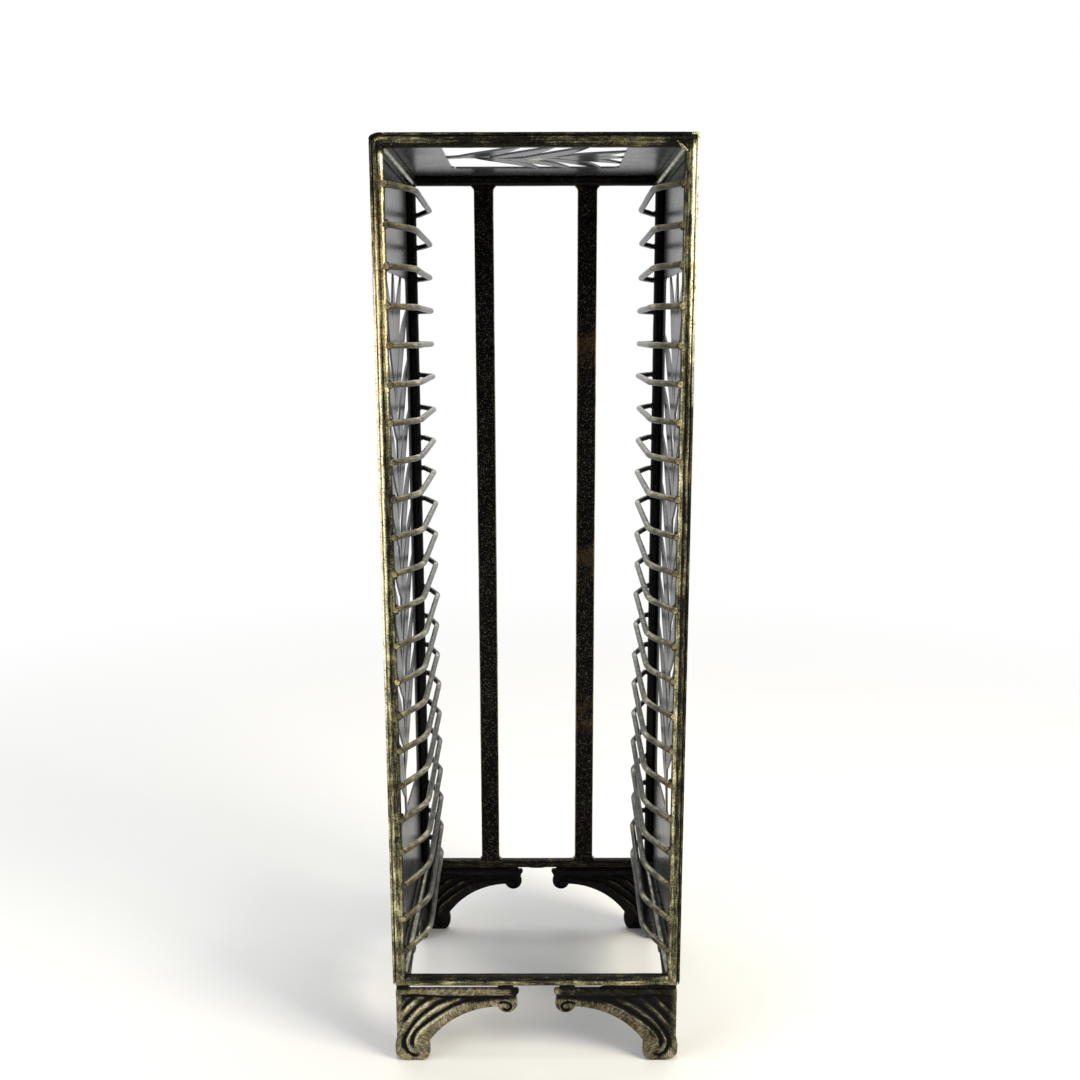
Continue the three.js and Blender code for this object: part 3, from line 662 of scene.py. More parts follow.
# Path of a wire in plan: straight legs joined by arcs that touch both of them
def bentPath(corners, radii, step):
    points = [corners[0]]
    for corner, before, after, radius in zip(corners[1:], corners, corners[2:], radii):
        back = (before - corner) / np.linalg.norm(before - corner)
        ahead = (after - corner) / np.linalg.norm(after - corner)
        half = math.acos(float(np.dot(back, ahead))) / 2
        tangent = radius / math.tan(half)
        toCentre = (back + ahead) / np.linalg.norm(back + ahead)
        centre = corner + toCentre * radius / math.sin(half)
        start, end = corner + back * tangent - centre, corner + ahead * tangent - centre
        count = max(2, int(np.linalg.norm(start + centre - points[-1]) / step))
        run = np.linspace(points[-1], start + centre, count, endpoint=False)[1:]
        turn = np.linspace(0, 1, 9)[:, None]
        arc = start * (1 - turn) + end * turn
        arc = centre + radius * arc / np.linalg.norm(arc, axis=1)[:, None]
        points += [*run, *arc]
    count = max(3, int(np.linalg.norm(corners[-1] - points[-1]) / step))
    return np.array([*points, *np.linspace(points[-1], corners[-1], count)[1:]])


# From the cut head through the front bend and the rear one to the rear upright
def wirePath(sign, drift):
    inX, front, rear = bar["innerX"], bar["frontY"], bar["rearY"]
    ledge, bend = drift["ledge"], drift["bend"]
    corners = np.array([
        [wireLook["ends"] + drift["end"], front + wireLook["frontSetback"]],
        [inX - wireLook["frontLedge"] - ledge, front + wireLook["frontBend"] + bend],
        [inX - wireLook["rearLedge"] - ledge, rear - wireLook["rearBend"]],
        [inX - wireLook["radius"], rear - wireLook["rearSetback"]],
    ]) * [sign, 1]
    radii = [wireLook["frontRadius"] + wireLook["radiusDrift"] * bend, wireLook["rearRadius"]]
    return bentPath(corners, radii, wireLook["pathStep"])


# Round wire: rings of radius r along the path, spread at the front into the domed head that the
# cut left, as r + spread * exp(-(distance / length)^2)
def wireShell(sign, z, drift, seed):
    path = wirePath(sign, drift)
    length = distances(path)[-1]
    ends = np.array([0.0, 0.07, 0.3, 0.7, 1.2, 1.8])
    middle = np.arange(2.6, length - 2.6, wireLook["step"])
    at = np.concatenate([ends, middle, length - ends[3:0:-1]])
    path = alongLine(path, at)
    run = np.gradient(path, at, axis=0)
    run /= np.linalg.norm(run, axis=1)[:, None]
    # the head is cut square to the front, the rest of the wire square to its run
    square = np.clip(1 - at / 3, 0, 1)[:, None]
    run = run * (1 - square) + np.array([0, 1]) * square
    side = np.stack([-run[:, 1], run[:, 0]], axis=1)
    radius = wireLook["radius"] - 0.03
    radius = radius + wireLook["headSpread"] * np.exp(-(at / wireLook["headLength"]) ** 2)
    radius[:3] *= [0.42, 0.8, 0.98]
    radius[-1] -= 0.2
    turn = ringTurns(wireLook["sides"], 0.5)
    flat = path[:, None, :] + (radius[:, None] * np.cos(turn))[..., None] * side[:, None, :]
    behind = path[:, 1] - bar["frontY"]
    share = behind / (bar["rearY"] - bar["frontY"])
    sag = wireLook["sag"] * lineNoise(at, wireLook["sagCell"], seed, z)
    lift = drift["frontLift"] * (1 - share) + drift["rearLift"] * share + sag
    up = z + lift[:, None] + radius[:, None] * np.sin(turn)
    grid = pointGrid(flat[..., 0], flat[..., 1], up)
    grid = uneven(grid, wireLook["wave"], wireLook["waveCell"], seed)
    # the lower a wire, the darker it is made, above all along its run
    lowest = ramped(-z, -220, 80)
    rubAndShading = fromTable(behind, wireLook["waxAndLight"]) - 0.08 - 0.1 * ramped(-z, -400, 300)
    rubAndShading = rubAndShading - fromTable(behind, wireLook["run"]) * (0.2 * ramped(-z, -430, 180) + 0.2 * lowest)
    # painted light: the top of the wire is made lighter as a highlight and its underside darker as
    # shade
    under, over = np.clip(0.1 - np.sin(turn), 0, 1), np.clip(2 * np.sin(turn) - 1, 0, 1)
    rubAndShading = rubAndShading[:, None] - 0.07 + wireLook["under"] * under + wireLook["over"] * over
    rubAndShading[:2] = wireLook["headWax"] + 0.5 * drift["end"] - 0.15 * lowest
    # painted crease shade: a dark ring just behind the domed head
    rubAndShading[2:4] -= 0.65
    wire = shell(grid, rubAndShading)
    high = 0.2 + 0.7 * ramped(z, 400, 80)
    gold = fromTable(behind, [(0, 1), (6, 0.7), (14, high), (28, high / 2), (50, 0)])
    wire["warm"] = np.repeat(gold, wireLook["sides"])
    return wire


def addWires():
    rng = np.random.default_rng(11)
    front, rear, inX = bar["frontY"] + 2.9, bar["rearY"] - 3.6, bar["innerX"] - 0.2
    for side, sign in bothSides:
        for i in range(1, 23):
            node = f"rest_wire_{side}_{i:02d}"
            z = np.mean(nodeBox(node), axis=0)[2]
            draws = rng.uniform(-1, 1, 5)
            drift = {key: far * draw for (key, far), draw in zip(wireLook["drift"].items(), draws)}
            seed = 100 + 3 * i + sign
            frontZ, rearZ = z + drift["frontLift"], z + drift["rearLift"]
            sizes = np.array(wireLook["frontBead"]) * rng.uniform(0.85, 1.2, 3)
            frontBead = weldBead((sign * inX, front, frontZ + rng.uniform(-0.7, 0.5)), sizes, seed,
                                 power=0.9, rough=0.4, rubAndShading=0.1)
            rearBead = weldBead((sign * inX, rear, rearZ), wireLook["rearBead"], seed + 1,
                                power=0.9, rough=0.25, rubAndShading=0.0)
            shells = [wireShell(sign, z, drift, seed), frontBead, rearBead]
            addPiece(f"restWire{side.title()}{i:02d}", shells, [wireFinish], node)


addWires()
print("wires made")


# Pierced panels

vineLook = {
    "stem": 4.6, "sway": 3.2, "bite": 1.5, "riseShare": 1.02, "widthShare": 0.26,
    "widestShare": 0.8, "bowShare": 0.1, "right": 0.3, "left": 0.8, "crownRoot": 0.35,
    "crownTips": (-0.56, 0, 0.56), "swayShare": 2.6, "corner": 4.0, "sheetCorner": 2.5,
}
sideLook = {"border": 11.6, "lowBorder": 76.0, "highBorder": 64.0, "pairs": 8, "trim": 0.6}
topLook = {
    "border": 31.0, "frontBorder": 39.1, "rearBorder": 36.1, "pairs": 3,
    "trimLeft": 3.7, "trimRight": 1.0,
    # weld over its corners: side, half axes, legs down and inwards, wax
    "covers": [(-1, (6.5, 3.2), (0.3, 0.2), 0.12), (1, (1.4, 1.4), (2.1, 2.6), 0.9)],
    "coverThick": 1.25,
}
# Beads on the sheets' edges: half sizes on the seams, and how proud they stand of the edges
beadLook = {
    "seam": (0.8, 0.75), "proud": 0.42, "step": 2.2, "sides": 10, "swell": 0.16, "swellCell": 7.0,
}


# Closed plate between two outlines of equal count
def plate(first, second, thick, closed=False):
    lowFace = np.concatenate([first[:, None], second[:, None]], axis=1)
    section = np.concatenate([lowFace, lowFace[:, ::-1]], axis=1)
    return shell(pointGrid(section[..., 0], section[..., 1], [0, 0, thick, thick]), 0, closed)


# A leaf runs from its root to its tip, its half width as sin(pi t^0.8), its rib bowed as sin(pi t)
def leafPlate(root, tip, halfWidth, bow, thick):
    t = np.linspace(0.012, 0.988, 25)
    run = np.array(tip) - np.array(root)
    normal = np.array([-run[1], run[0]]) / np.linalg.norm(run)
    rib = np.array(root) + t[:, None] * run + (bow * np.sin(np.pi * t))[:, None] * normal
    off = (halfWidth * np.sin(np.pi * t ** vineLook["widestShare"]))[:, None] * normal
    return plate(rib - off, rib + off, thick)


# The stem sways as a sine, pairs of leaves alternate up it, and a crown of leaves ends it
def vinePlates(reach, height, pairs, thick):
    rise, bite = reach * vineLook["riseShare"], vineLook["bite"]
    crown = height - rise
    pitch = crown / (pairs + vineLook["crownRoot"])

    def sway(y):
        return vineLook["sway"] * np.sin(2 * np.pi * y / (pitch * vineLook["swayShare"]))

    y = np.linspace(-bite, crown + bite, 90)
    stem = np.stack([sway(y), y], axis=1)
    off = np.array([vineLook["stem"] / 2, 0])
    leaves = [
        (pitch * (i + vineLook[side]), sign, pitch * (i + vineLook[side]) + rise, reach + bite)
        for i in range(pairs) for side, sign in bothSides
    ]
    leaves += [(crown, share, height + bite, reach) for share in vineLook["crownTips"]]
    plates = [plate(stem - off, stem + off, thick)]
    for root, lean, tipY, out in leaves:
        bow = lean * rise * vineLook["bowShare"]
        plates.append(leafPlate((sway(root), root), (lean * out, tipY),
                                pitch * vineLook["widthShare"], bow, thick))
    return plates


# Rounded rectangle from its low and high corners, the same count of points whatever its size
def roundedLoop(low, high, radius):
    section = roundedSection(high[0] - low[0], high[1] - low[1], radius, 8)
    return section + (np.array(low) + np.array(high)) / 2


# Fuses the plates with the windowed sheet, so that the panel is one skin as cut from one sheet
def fusePlates(name, plates):
    operands = bpy.data.collections.new(name + "Plates")
    made = []
    for i, part in enumerate(plates):
        mesh = bpy.data.meshes.new(f"{name}Part{i}")
        mesh.from_pydata(part["points"].tolist(), [], part["faces"])
        made.append(bpy.data.objects.new(mesh.name, mesh))
    sheet = made[0]
    scene.collection.objects.link(sheet)
    for one in made[1:]:
        operands.objects.link(one)
    scene.collection.children.link(operands)
    union = sheet.modifiers.new("union", "BOOLEAN")
    union.operation, union.solver = "UNION", "EXACT"
    union.operand_type, union.collection = "COLLECTION", operands
    done = sheet.evaluated_get(bpy.context.evaluated_depsgraph_get()).to_mesh()
    points = np.zeros(len(done.vertices) * 3)
    done.vertices.foreach_get("co", points)
    faces = [list(p.vertices) for p in done.polygons]
    for one in made:
        mesh = one.data
        bpy.data.objects.remove(one)
        bpy.data.meshes.remove(mesh)
    bpy.data.collections.remove(operands)
    return points.reshape(-1, 3), faces


# Sheet from start to end with a window from low to high, and the vine fused into it
def piercedSheet(name, start, end, low, high, vine, thick):
    outer = roundedLoop(start, end, vineLook["sheetCorner"])
    inner = roundedLoop(low, high, vineLook["corner"])
    return fusePlates(name, [plate(outer, inner, thick, closed=True), *vine])


def skinOf(points, faces):
    return {"points": points, "faces": faces, "flow": points, "rubAndShading": np.zeros(len(points))}


# Rounded bead of paint and weld along a straight edge of a sheet, its size wandering, with its wax
# from a table of places along it
def edgeBead(start, end, across, proud, seed, waxAndLight, finish=1):
    start, end = np.array(start, float), np.array(end, float)
    lying = abs(end[0] - start[0]) > 1
    t = np.linspace(0, 1, int(np.linalg.norm(end - start) / beadLook["step"]))
    turn = ringTurns(beadLook["sides"])[:, None]
    lateral = np.array([0, 0, 1.0] if lying else [1.0, 0, 0])
    swell = 1 + beadLook["swell"] * lineNoise(t * 500, beadLook["swellCell"], seed)
    swell[[0, -1]] *= 0.5
    line = start + t[:, None] * (end - start)
    ring = across * np.cos(turn) * lateral + proud * np.sin(turn) * np.array([0, 1.0, 0])
    grid = line[:, None] + swell[:, None, None] * ring
    rubAndShading = fromTable(line[:, 0 if lying else 2], waxAndLight)
    return {**shell(grid, rubAndShading[:, None]), "finish": finish}


# Weld metal that turns the top corner between two sheets: an elliptic quarter turn, with a leg down
# to the side sheet and one in to the top sheet, carried from front to rear
def cornerCover(sign, outer, axes, legs, rubAndShading):
    turn = np.linspace(0, np.pi / 2, 12)
    rims = []
    for inset in (0, topLook["coverThick"]):
        x, z = (
            edge - axis + (axis - inset) * wave
            for edge, axis, wave in zip(outer, axes, (np.cos(turn), np.sin(turn)))
        )
        rims.append(np.vstack([
            [x[0], z[0] - legs[0]], np.stack([x, z], axis=1), [x[-1] - legs[1], z[-1]]]))
    section = np.vstack([rims[0], rims[1][::-1]])
    behind = np.concatenate([[0, 1, 3, 6], np.linspace(9, bar["rearY"] - bar["frontY"] - 0.24, 28)])
    behind = 0.12 + behind
    grid = pointGrid(sign * section[:, 0], bar["frontY"] + behind[:, None], section[:, 1])
    rubAndShading = np.interp(behind, [2, 7], [rubAndShading, min(rubAndShading, 0.3)])
    return {**shell(grid, rubAndShading[:, None]), "finish": 1}


def addSidePanels():
    low, high = nodeBox("side_panel_right")
    thick, depth, height = high - low
    border, lowBorder = sideLook["border"], sideLook["lowBorder"]
    windowTop = height - sideLook["highBorder"]
    vine = vinePlates(depth / 2 - border, windowTop - lowBorder, sideLook["pairs"], thick)
    for part in vine:
        part["points"] = part["points"] + np.array([depth / 2, lowBorder, 0])
    points, faces = piercedSheet("sidePanel", (0, 0), (depth, height - sideLook["trim"]),
                                 (border, lowBorder), (depth - border, windowTop), vine, thick)
    x, y, z = points.T
    for side, sign in bothSides:
        placed = np.stack([sign * (low[0] + z), sign * (x - depth / 2), y + low[2]], axis=1)
        middle, seam = sign * (bar["outerX"] + thick / 2), sign * (bar["outerX"] - 0.5)
        beads = []
        ends = ((low[1], 0.95, frontWaxAndShading[side]), (high[1], -0.95, plainWax))
        for i, (rim, inwards, look) in enumerate(ends):
            inner = rim + inwards
            beads += [
                edgeBead((middle, rim, low[2] + 0.3), (middle, rim, high[2] - 0.9), thick / 2,
                         beadLook["proud"], 81 + i, look["sheet"], 2),
                edgeBead((seam, inner, low[2] + 1), (seam, inner, high[2] - 1), *beadLook["seam"],
                         83 + i, look["seam"]),
            ]
        addPiece(f"sidePanel{side.title()}", [skinOf(placed, faces), *beads],
                 [panelFinish, barFinish, edgeFinish], f"side_panel_{side}", 25)


def addTopPanel():
    low, high = nodeBox("top_panel")
    width, depth, thick = high - low
    border, front = topLook["border"], topLook["frontBorder"]
    left, right = topLook["trimLeft"], width - topLook["trimRight"]
    windowRear = depth - topLook["rearBorder"]
    reach = (windowRear - front) / 2
    vine = vinePlates(reach, width - 2 * border, topLook["pairs"], thick)
    for part in vine:
        x, y, z = part["points"].T
        part["points"] = np.stack([y + border, front + reach - x, z], axis=1)
    points, faces = piercedSheet("topPanel", (left, 0), (right, depth), (border, front),
                                 (width - border, windowRear), vine, thick)
    middle = (low[2] + high[2]) / 2
    start, end = low[0] + left + 0.3, low[0] + right - 0.3
    beads = [
        edgeBead((start, y, middle), (end, y, middle), thick / 2, beadLook["proud"], 87 + i,
                 waxAndLight["top"]["sheet"])
        for i, (y, waxAndLight) in enumerate(((low[1], frontWaxAndShading), (high[1], rearWax)))
    ]
    corner = (bar["outerX"] + thick, high[2])
    covers = [cornerCover(sign, corner, *rest) for sign, *rest in topLook["covers"]]
    addPiece("topPanel", [skinOf(points + low, faces), *beads, *covers],
             [panelFinish, barFinish], "top_panel", 25)


addSidePanels()
addTopPanel()
print("panels made")


# Cast feet

footLook = {
    "height": 46.8, "length": 73.4, "thick": 4.6, "top": 49.0, "archRadius": 52.0,
    "edgeRound": 1.3, "edgeDepth": 1.15, "grooveDepth": 1.15, "fold": 1.5, "fillet": 0.5,
    "bulge": 1.1, "scrollRadius": 6.1, "scrollTurn": (202, 392), "nubRadius": 1.5,
    "cusp": (0.264, 0.27), "scroll": (0.905, 0.808),  # as shares of its length and height
    "band": 5.8, "rows": (26, 72, 84, 64), "pads": ((4.1, 3.6), (65.4, 4.7)),
    # how far in from the corner the weld over a foot was laid, and the level on the tip of its
    # scroll: a painted highlight on the front right foot, a black weld pad on the front left
    "welded": {"front_right": 46, "rear_right": 62, "rear_left": 62},
    "nubPadAndHighlight": {"front_right": 0.7, "front_left": -1.0},
    # the rim's lower edge, where the ribs start and where they fade under it into a painted shadow,
    # the scroll's tip, and the step along and down that tells a rib's lit side from its painted
    # shaded side
    "rimFrom": 43.4, "ribsFrom": 3.2, "fadeAndShadowFrom": 37.5, "tip": (71.5, 45.5), "lightSideStep": 0.75,
    "waxAndLight": {"band": 0.9, "ribs": 0.1, "rimFadeAndShadow": 0.45, "ribLightAndShade": 0.45, "groove": -0.2,
            "inside": -0.25, "rear": -0.35, "frontRight": -0.12, "ribsRight": -0.4},
}

# Grooves between the ribs on a wing, as points (along from the tower's corner, up) and the half
# widths at the first and last of them
footGrooves = [
    ([(58.7, 41), (53, 40.9), (48.4, 40.4), (42.9, 39.5), (37.4, 37.6), (32.9, 35.4), (29, 33),
      (24.7, 30.2), (20.9, 27.5), (17.1, 24.4), (13.8, 21.4), (11.1, 18.2), (9.5, 14.7),
      (9.2, 11.7), (10, 8.9)], 1.5, 1.1),
    ([(36.5, 41.6), (32.8, 40.7), (28.5, 39.2), (24.1, 37), (19.8, 33.8), (15.8, 30.4),
      (12.7, 27.4), (9.5, 23.2), (6.8, 19), (4.9, 15.2), (4.5, 12), (5.3, 8.1), (7.3, 4.9),
      (10.4, 3.6), (13, 4.6)], 1.45, 0.85),
    ([(22.5, 42), (19.8, 40.9), (16.5, 38.8), (13.3, 36.2), (10, 32.8), (7.3, 29.8),
      (4.4, 26)], 1.35, 1.2),
    ([(11.8, 42), (9.5, 40.3), (6.8, 37.6), (3.8, 34)], 1.2, 1.1),
    ([(4.6, 42.9), (12, 42.9), (21, 42.5), (32, 41.7), (43, 41.4), (52, 41.3), (59, 41.6),
      (67.4, 41.5)], 0.95, 0.95),
    ([(61, 38), (64.5, 38.8), (67.4, 37.9), (68.7, 36.1), (67.9, 34.2), (65.8, 33.5),
      (64, 34.8)], 0.7, 0.7),
]


# Curve from a few points: each layer blends the neighbours of the one before it
def bezier(points, steps=60):
    t = np.linspace(0, 1, steps)[:, None]
    layer = [np.array(p, float) * np.ones_like(t) for p in points]
    while len(layer) > 1:
        layer = [a * (1 - t) + b * t for a, b in zip(layer, layer[1:])]
    return layer[0]


# Arc of a circle between two angles in degrees
def arc(centre, radius, start, end, steps):
    turn = np.radians(np.linspace(start, end, steps))
    return np.array(centre) + radius * np.stack([np.cos(turn), np.sin(turn)], axis=1)


# Four lines joined into one, each with its own count of even steps
def joined(lines):
    spaced = [
        alongLine(line, np.linspace(0, distances(line)[-1], count + 1))
        for line, count in zip(lines, footLook["rows"])
    ]
    return np.vstack([spaced[0], *(line[1:] for line in spaced[1:])])


# Least distance from points to a polyline, and how far along it (0 to 1) the nearest place is
def nearest(points, line):
    best = np.full(len(points), 1e9)
    where = np.zeros(len(points))
    for i, (a, b) in enumerate(zip(line, line[1:])):
        run = b - a
        t = np.clip(((points - a) @ run) / (run @ run), 0, 1)
        gap = np.linalg.norm(points - a - t[:, None] * run, axis=1)
        closer = gap < best
        best[closer] = gap[closer]
        where[closer] = (i + t[closer]) / (len(line) - 1)
    return best, where


# Smooth curve through given points: a uniform Catmull-Rom blend
def throughPoints(points, steps=8):
    p = np.array(points, float)
    p = np.vstack([2 * p[0] - p[1], p, 2 * p[-1] - p[-2]])
    t = np.linspace(0, 1, steps, endpoint=False)[:, None]
    runs = [
        0.5 * (2 * b + (c - a) * t + (2 * a - 5 * b + 4 * c - d) * t ** 2
               + (3 * b - a - 3 * c + d) * t ** 3)
        for a, b, c, d in zip(p, p[1:], p[2:], p[3:])
    ]
    return np.vstack([*runs, points[-1:]])


# Grid over a wing, from its corner and top side to its lobe, arch and scroll side
def wingGrid():
    height, length = footLook["height"], footLook["length"]
    size, curlRadius, nubRadius = (footLook[k] for k in ("archRadius", "scrollRadius", "nubRadius"))
    cusp, scroll = (np.array(footLook[key]) * [length, height] for key in ("cusp", "scroll"))
    curl = arc(scroll, curlRadius, *footLook["scrollTurn"], 90)
    chord = curl[0] - cusp
    away = np.array([chord[1], -chord[0]]) / np.linalg.norm(chord)
    arch = (cusp + curl[0]) / 2 + away * math.sqrt(size ** 2 - (chord @ chord) / 4)
    angles = [math.degrees(math.atan2(*(p - arch)[::-1])) for p in (cusp, curl[0])]
    archLine = arc(arch, size, *angles, 200)
    lobe = bezier([(0.203 * length, 0), (cusp[0], 0), (0.285 * length, 0.135 * height), cusp])
    heel = bezier([(0.078 * length, 0), (0.01 * length, 0.014 * height), (0, 0.21 * height)])
    nub = arc((length - nubRadius, height - nubRadius), nubRadius, -60, 70, 20)
    cornerTop, overCusp, tip = (np.array([x, height]) for x in (0, 57.0, length - 2.4))
    first = joined([heel, *(np.array(ends) for ends in (
        (heel[-1], cornerTop), (cornerTop, overCusp), (overCusp, tip)))])
    second = joined([lobe, archLine[:62], archLine[61:], np.vstack([curl, nub])])
    even = np.linspace(0, 1, 74)
    t = (0.45 * even + 0.55 * (0.5 - 0.5 * np.cos(np.pi * even)))[:, None]
    grid = first[:, None] * (1 - t) + second[:, None] * t
    edges = [heel, second, np.array([heel[0], lobe[0]]), np.array([cornerTop, tip, second[-1]])]
    return grid, edges, arch


# Depth of a wing's face under its highest ribs: rounded off towards the outline as a quarter
# ellipse, and sunk in each groove as exp(-(distance / half width)^3)
def wingRelief(points, edges):
    edge = np.min([nearest(points, line)[0] for line in edges], axis=0)
    inside = np.clip(1 - edge / footLook["edgeRound"], 0, 1)
    rounded = footLook["edgeDepth"] * (1 - np.sqrt(1 - inside ** 2))
    sunk = np.zeros(len(points))
    for line, first, last in footGrooves:
        gap, where = nearest(points, throughPoints(line))
        taper = np.clip(np.minimum(where, 1 - where) / 0.06, 0.35, 1)
        sunk = np.maximum(sunk, taper * np.exp(-(gap / (first + (last - first) * where)) ** 3))
    places = np.column_stack([points, np.zeros(len(points))])
    grain = 0.09 * valueNoise(places, 1.9, 5) + 0.05 * valueNoise(places, 0.9, 6)
    return rounded + footLook["grooveDepth"] * sunk * (1 - 0.7 * inside) + 0.14 + grain, 1 - sunk


# Both wings of a foot as one skin, folded round the tower's corner. Along is bent round a quarter
# circle outside, and squeezed towards the inner corner inside.
def footShell():
    grid, edges, arch = wingGrid()
    rows, cols = grid.shape[:2]
    flat = grid.reshape(-1, 2)
    depth, relief = wingRelief(flat, edges)
    along, up = flat.T
    thick, fold, archRadius = footLook["thick"], footLook["fold"], footLook["archRadius"]
    waxAndLight = footLook["waxAndLight"]
    psi = np.clip(np.pi / 4 - along / fold, 0, None)
    depth = depth * (1 - 0.6 * np.exp(-(along / 1.2) ** 2))
    straight = along + fold * (1 - np.pi / 4) * np.clip(1 - along / footLook["length"], 0, 1)
    outX = np.where(psi > 0, fold - (fold - depth) * np.sin(psi), straight)
    outY = np.where(psi > 0, fold - (fold - depth) * np.cos(psi), depth)
    squeeze = thick * np.clip(1 - along / 14, 0, 1) ** 2
    near = np.exp(-(along / 0.9) ** 2)
    inX = along + squeeze + footLook["fillet"] * near
    inY = thick - depth + (footLook["fillet"] + depth) * near
    points = np.vstack([np.stack([outX, outY, up], 1), np.stack([inX, inY, up], 1)])
    count = rows * cols
    outer = np.arange(count).reshape(rows, cols)
    inner = outer + count

    def quads(a, b, c, d):
        return np.stack([a, b, c, d], axis=-1).reshape(-1, 4)

    low = footLook["rows"][0]  # the fold's lowest and highest rows
    high = low + footLook["rows"][1]
    faces = [
        quads(outer[:-1, :-1], outer[1:, :-1], outer[1:, 1:], outer[:-1, 1:]),
        quads(inner[:-1, :-1], inner[:-1, 1:], inner[1:, 1:], inner[1:, :-1]),
    ]
    for a, b in (
        (outer[:, -1], inner[:, -1]), (inner[:low + 1, 0], outer[:low + 1, 0]),
        (inner[high:, 0], outer[high:, 0]), (inner[0, ::-1], outer[0, ::-1]),
        (outer[-1, ::-1], inner[-1, ::-1]),
    ):
        faces.append(quads(a[:-1], a[1:], b[1:], b[:-1]))
    faces = np.vstack(faces)
    # the second wing mirrors the first, and shares its points along the fold
    twin = np.arange(2 * count) + 2 * count
    shared = np.concatenate([outer[low:high + 1, 0], inner[low:high + 1, 0]])
    twin[shared] = shared
    allPoints = np.vstack([points, points[:, [1, 0, 2]]])
    allFaces = np.vstack([faces, twin[faces][:, ::-1]])
    used, compact = np.unique(allFaces, return_inverse=True)
    compact = compact.reshape(allFaces.shape)
    if signedVolume(allPoints[used], compact) < 0:
        compact = compact[:, ::-1]
    # the wax was stroked out from the arch's centre on the band beside it, and along the ribs
    away = np.linalg.norm(flat - arch, axis=1)
    turned = archRadius * np.arctan2(*(flat - arch).T[::-1])
    past = away - archRadius
    onBand = past < footLook["band"]
    strokes = pointGrid(np.where(onBand, away, turned), np.where(onBand, turned, away), 0)
    # the ribs fade out under the rim, and are darkened there as a painted shadow of the rim
    onRibs = ~onBand * (up < footLook["rimFrom"]) * (along > footLook["ribsFrom"])
    fade = ramped(up, footLook["fadeAndShadowFrom"], 3)
    crest = waxAndLight["band"] + onRibs * (waxAndLight["ribs"] - waxAndLight["rimFadeAndShadow"] * fade)
    # painted light: each rib is made lighter on its side towards above and outside, and darker on
    # the other, as if lit from there
    step = footLook["lightSideStep"] * np.array([1, -1])
    lit, unlit = (wingRelief(flat + side * step, edges)[1] for side in (1, -1))
    ribLightAndShade = waxAndLight["ribLightAndShade"] * onRibs * np.clip(lit - unlit, -0.6, 1)
    behind = np.tile(np.repeat([0, 1], count), 2)
    onFold = np.exp(-(along / 2.5) ** 2)
    tipAlong, tipUp = footLook["tip"]
    onNub = np.exp(-((along - tipAlong) / 3) ** 2 - ((up - tipUp) / 2.5) ** 2)
    rubAndShading = np.tile(relief ** 1.3 * crest + waxAndLight["groove"] + ribLightAndShade, 4) + waxAndLight["inside"] * behind
    return {
        "points": allPoints[used], "faces": compact.tolist(), "rubAndShading": rubAndShading[used],
        "flow": np.tile(strokes, (4, 1))[used], "past": np.tile(past, 4)[used],
        "fold": np.tile(onFold, 4)[used], "nub": np.tile(onNub, 4)[used],
    }


def addFeet():
    outX, rearY, waxAndLight = bar["outerX"], bar["rearY"], footLook["waxAndLight"]
    gap = footLook["top"] - footLook["height"]
    z = footLook["height"] + gap / 2 - 0.1
    parts = [footShell()]
    for i, (along, half) in enumerate(footLook["pads"]):
        for wing, order in enumerate((1, -1)):
            centre, sizes = (*(along, 2.3)[::order], z), (*(half, 1.9)[::order], gap / 2 + 0.35)
            parts.append(weldBead(centre, sizes, 200 + 2 * i + wing,
                                  power=0.6, rough=0.25, rubAndShading=0.02))
    quarter = np.array([[0, -1], [1, 0]])
    corners = (("front_left", -1, -1), ("front_right", 1, -1),
               ("rear_right", 1, 1), ("rear_left", -1, 1))
    for turns, (corner, signX, signY) in enumerate(corners):
        turn = np.linalg.matrix_power(quarter, turns)
        shells = []
        for part in parts:
            points = part["points"].copy()
            points[:, :2] = points[:, :2] @ turn.T + np.array([signX * outX, signY * rearY])
            low = ramped(-points[:, 2], -16, 6)
            points[:, 0] += signX * footLook["bulge"] * low * (np.abs(points[:, 0]) > outX - 4)
            # painted highlight on the front right foot's scroll tip, black weld pad on the front
            # left's
            rubAndShading = part["rubAndShading"] + footLook["nubPadAndHighlight"].get(corner, 0) * part.get("nub", 0)
            if corner == "front_right":
                above = ramped(part.get("past", 0), 5, 2) * (1 - low) * (1 - part.get("fold", 0))
                rubAndShading = rubAndShading + waxAndLight["frontRight"] + waxAndLight["ribsRight"] * above
            rubAndShading = rubAndShading + waxAndLight["rear"] * (signY > 0) + 0.03 * low * (corner == "front_left")
            flow = part["flow"] + np.array([0, 0, 13.0 * turns])
            shells.append({"points": points, "faces": part["faces"], "rubAndShading": rubAndShading, "flow": flow})
        if corner in footLook["welded"]:
            y, inner = signY * (rearY - 2.3), outX - footLook["welded"][corner]
            shells.append(weldRun((signX * (outX - 6), y, z), (signX * inner, y, z - 0.5), 1.25,
                                  230 + turns, pitch=3.0, rubAndShading=-0.1))
        name = "foot" + corner.title().replace("_", "")
        addPiece(name, shells, [castFinish], f"foot_{corner}", 60)


addFeet()
print("feet made")


# Studio

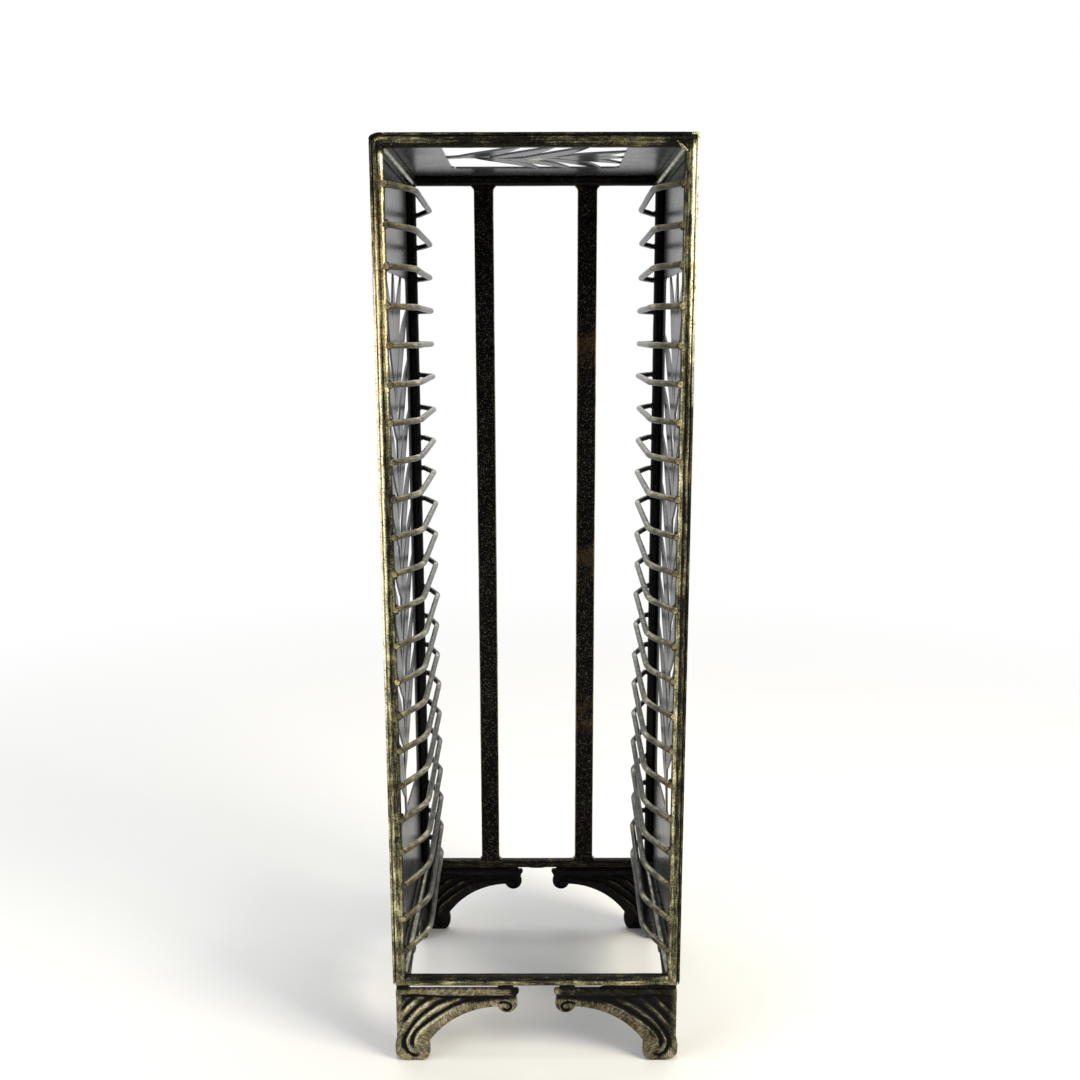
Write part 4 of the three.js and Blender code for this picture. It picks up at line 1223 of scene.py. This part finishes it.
studio = {
    "camera": (0.0032, -0.6631, 0.4286), "pitchDown": 10.6, "roll": 0.1, "yaw": 0.035,
    "lens": 36.33, "floor": "#f1f1ee", "floorSize": 9.0, "white": "#ffffff", "dim": 0.6,
    "flag": (1.1, -1.9, 1.7), "flagColour": "#050505", "fade": (0.25, 1.2),
    "lampsAim": (0, 0, 0.27),
    "lamps": [
        ("keyRight", (0.95, -0.62, 0.82), 0.5, 15.0, "#fff6e4"),
        ("fillLeft", (-1.1, -0.6, 0.45), 0.9, 7.0, "#f2f6ff"),
        ("overhead", (0.0, 0.3, 1.9), 1.2, 12.0, "#ffffff"),
    ],
}


def addBackdrop(name, corners, material):
    mesh = bpy.data.meshes.new(name)
    mesh.from_pydata(corners, [], [(0, 1, 2, 3)])
    mesh.materials.append(material)
    backdrop = addObject(name, mesh)
    return backdrop


def addCamera():
    camera = addObject("camera", bpy.data.cameras.new("camera"))
    camera.data.sensor_width = 36.0
    camera.data.lens = studio["lens"]
    camera.data.clip_start = 0.01
    camera.location = studio["camera"]
    turns = (90 - studio["pitchDown"], studio["roll"], studio["yaw"])
    camera.rotation_euler = [math.radians(a) for a in turns]
    scene.camera = camera
    scene.view_settings.view_transform = "Standard"


def addLamps():
    for name, place, size, power, colour in studio["lamps"]:
        lamp = addObject(name, bpy.data.lights.new(name, "AREA"))
        lamp.data.size, lamp.data.energy, lamp.data.color = size, power, srgb(colour)[:3]
        lamp.location = place
        x, y, z = np.array(studio["lampsAim"]) - np.array(place)
        yaw, rise = math.atan2(y, x), math.atan2(z, math.hypot(x, y))
        lamp.rotation_euler = (math.pi / 2 + rise, 0, yaw - math.pi / 2)


# A black flag behind the camera, seen only in the gloss of what faces it
def addFlag():
    cloth = bpy.data.materials.new("black cloth flag")
    tree = emptyTree(cloth)
    black = addNode(tree, "BsdfDiffuse", None, {"Color": srgb(studio["flagColour"])})
    addNode(tree, "OutputMaterial", None, {"Surface": black})
    x, y, z = studio["flag"]
    flag = addBackdrop("flag", [(-x, y, 0.0), (x, y, 0.0), (x, y, z), (-x, y, z)], cloth)
    flag.visible_camera = flag.visible_shadow = False


# The world lights dimly, and shows as white to the camera and in gloss
def addWorld():
    world = bpy.data.worlds.new("white room")
    tree = emptyTree(world)
    path = addNode(tree, "LightPath").outputs
    seen = path["Is Camera Ray"]
    for ray in ("Is Glossy Ray", "Is Transmission Ray"):
        seen = addNode(tree, "Math", {"operation": "MAXIMUM"}, {0: seen, 1: path[ray]})
    strength = addNode(tree, "MapRange", None,
                       {"Value": seen, "To Min": studio["dim"], "To Max": 1.0})
    back = addNode(tree, "Background", None, {"Color": srgb(studio["white"]), "Strength": strength})
    addNode(tree, "OutputWorld", None, {"Surface": back})
    scene.world = world


# White paper that keeps the tower's shadow and fades into the white behind
def addFloor():
    paper = bpy.data.materials.new("white paper floor")
    tree = emptyTree(paper)
    coords = addNode(tree, "TexCoord").outputs["Object"]
    away = addNode(tree, "VectorMath", {"operation": "LENGTH"}, {0: coords}).outputs["Value"]
    start, end = studio["fade"]
    fade = addNode(tree, "MapRange", {"interpolation_type": "SMOOTHSTEP"},
                   {"Value": away, "From Min": start, "From Max": end})
    diffuse = addNode(tree, "BsdfDiffuse", None, {"Color": srgb(studio["floor"])})
    glow = addNode(tree, "Emission", None, {"Color": srgb(studio["white"]), "Strength": 1.0})
    mix = addNode(tree, "MixShader", None, {0: fade, 1: diffuse, 2: glow})
    addNode(tree, "OutputMaterial", None, {"Surface": mix})
    s = studio["floorSize"]
    addBackdrop("floor", [(-s, -s, 0), (s, -s, 0), (s, s, 0), (-s, s, 0)], paper)


addCamera()
addLamps()
addFlag()
addWorld()
addFloor()
print("studio made")
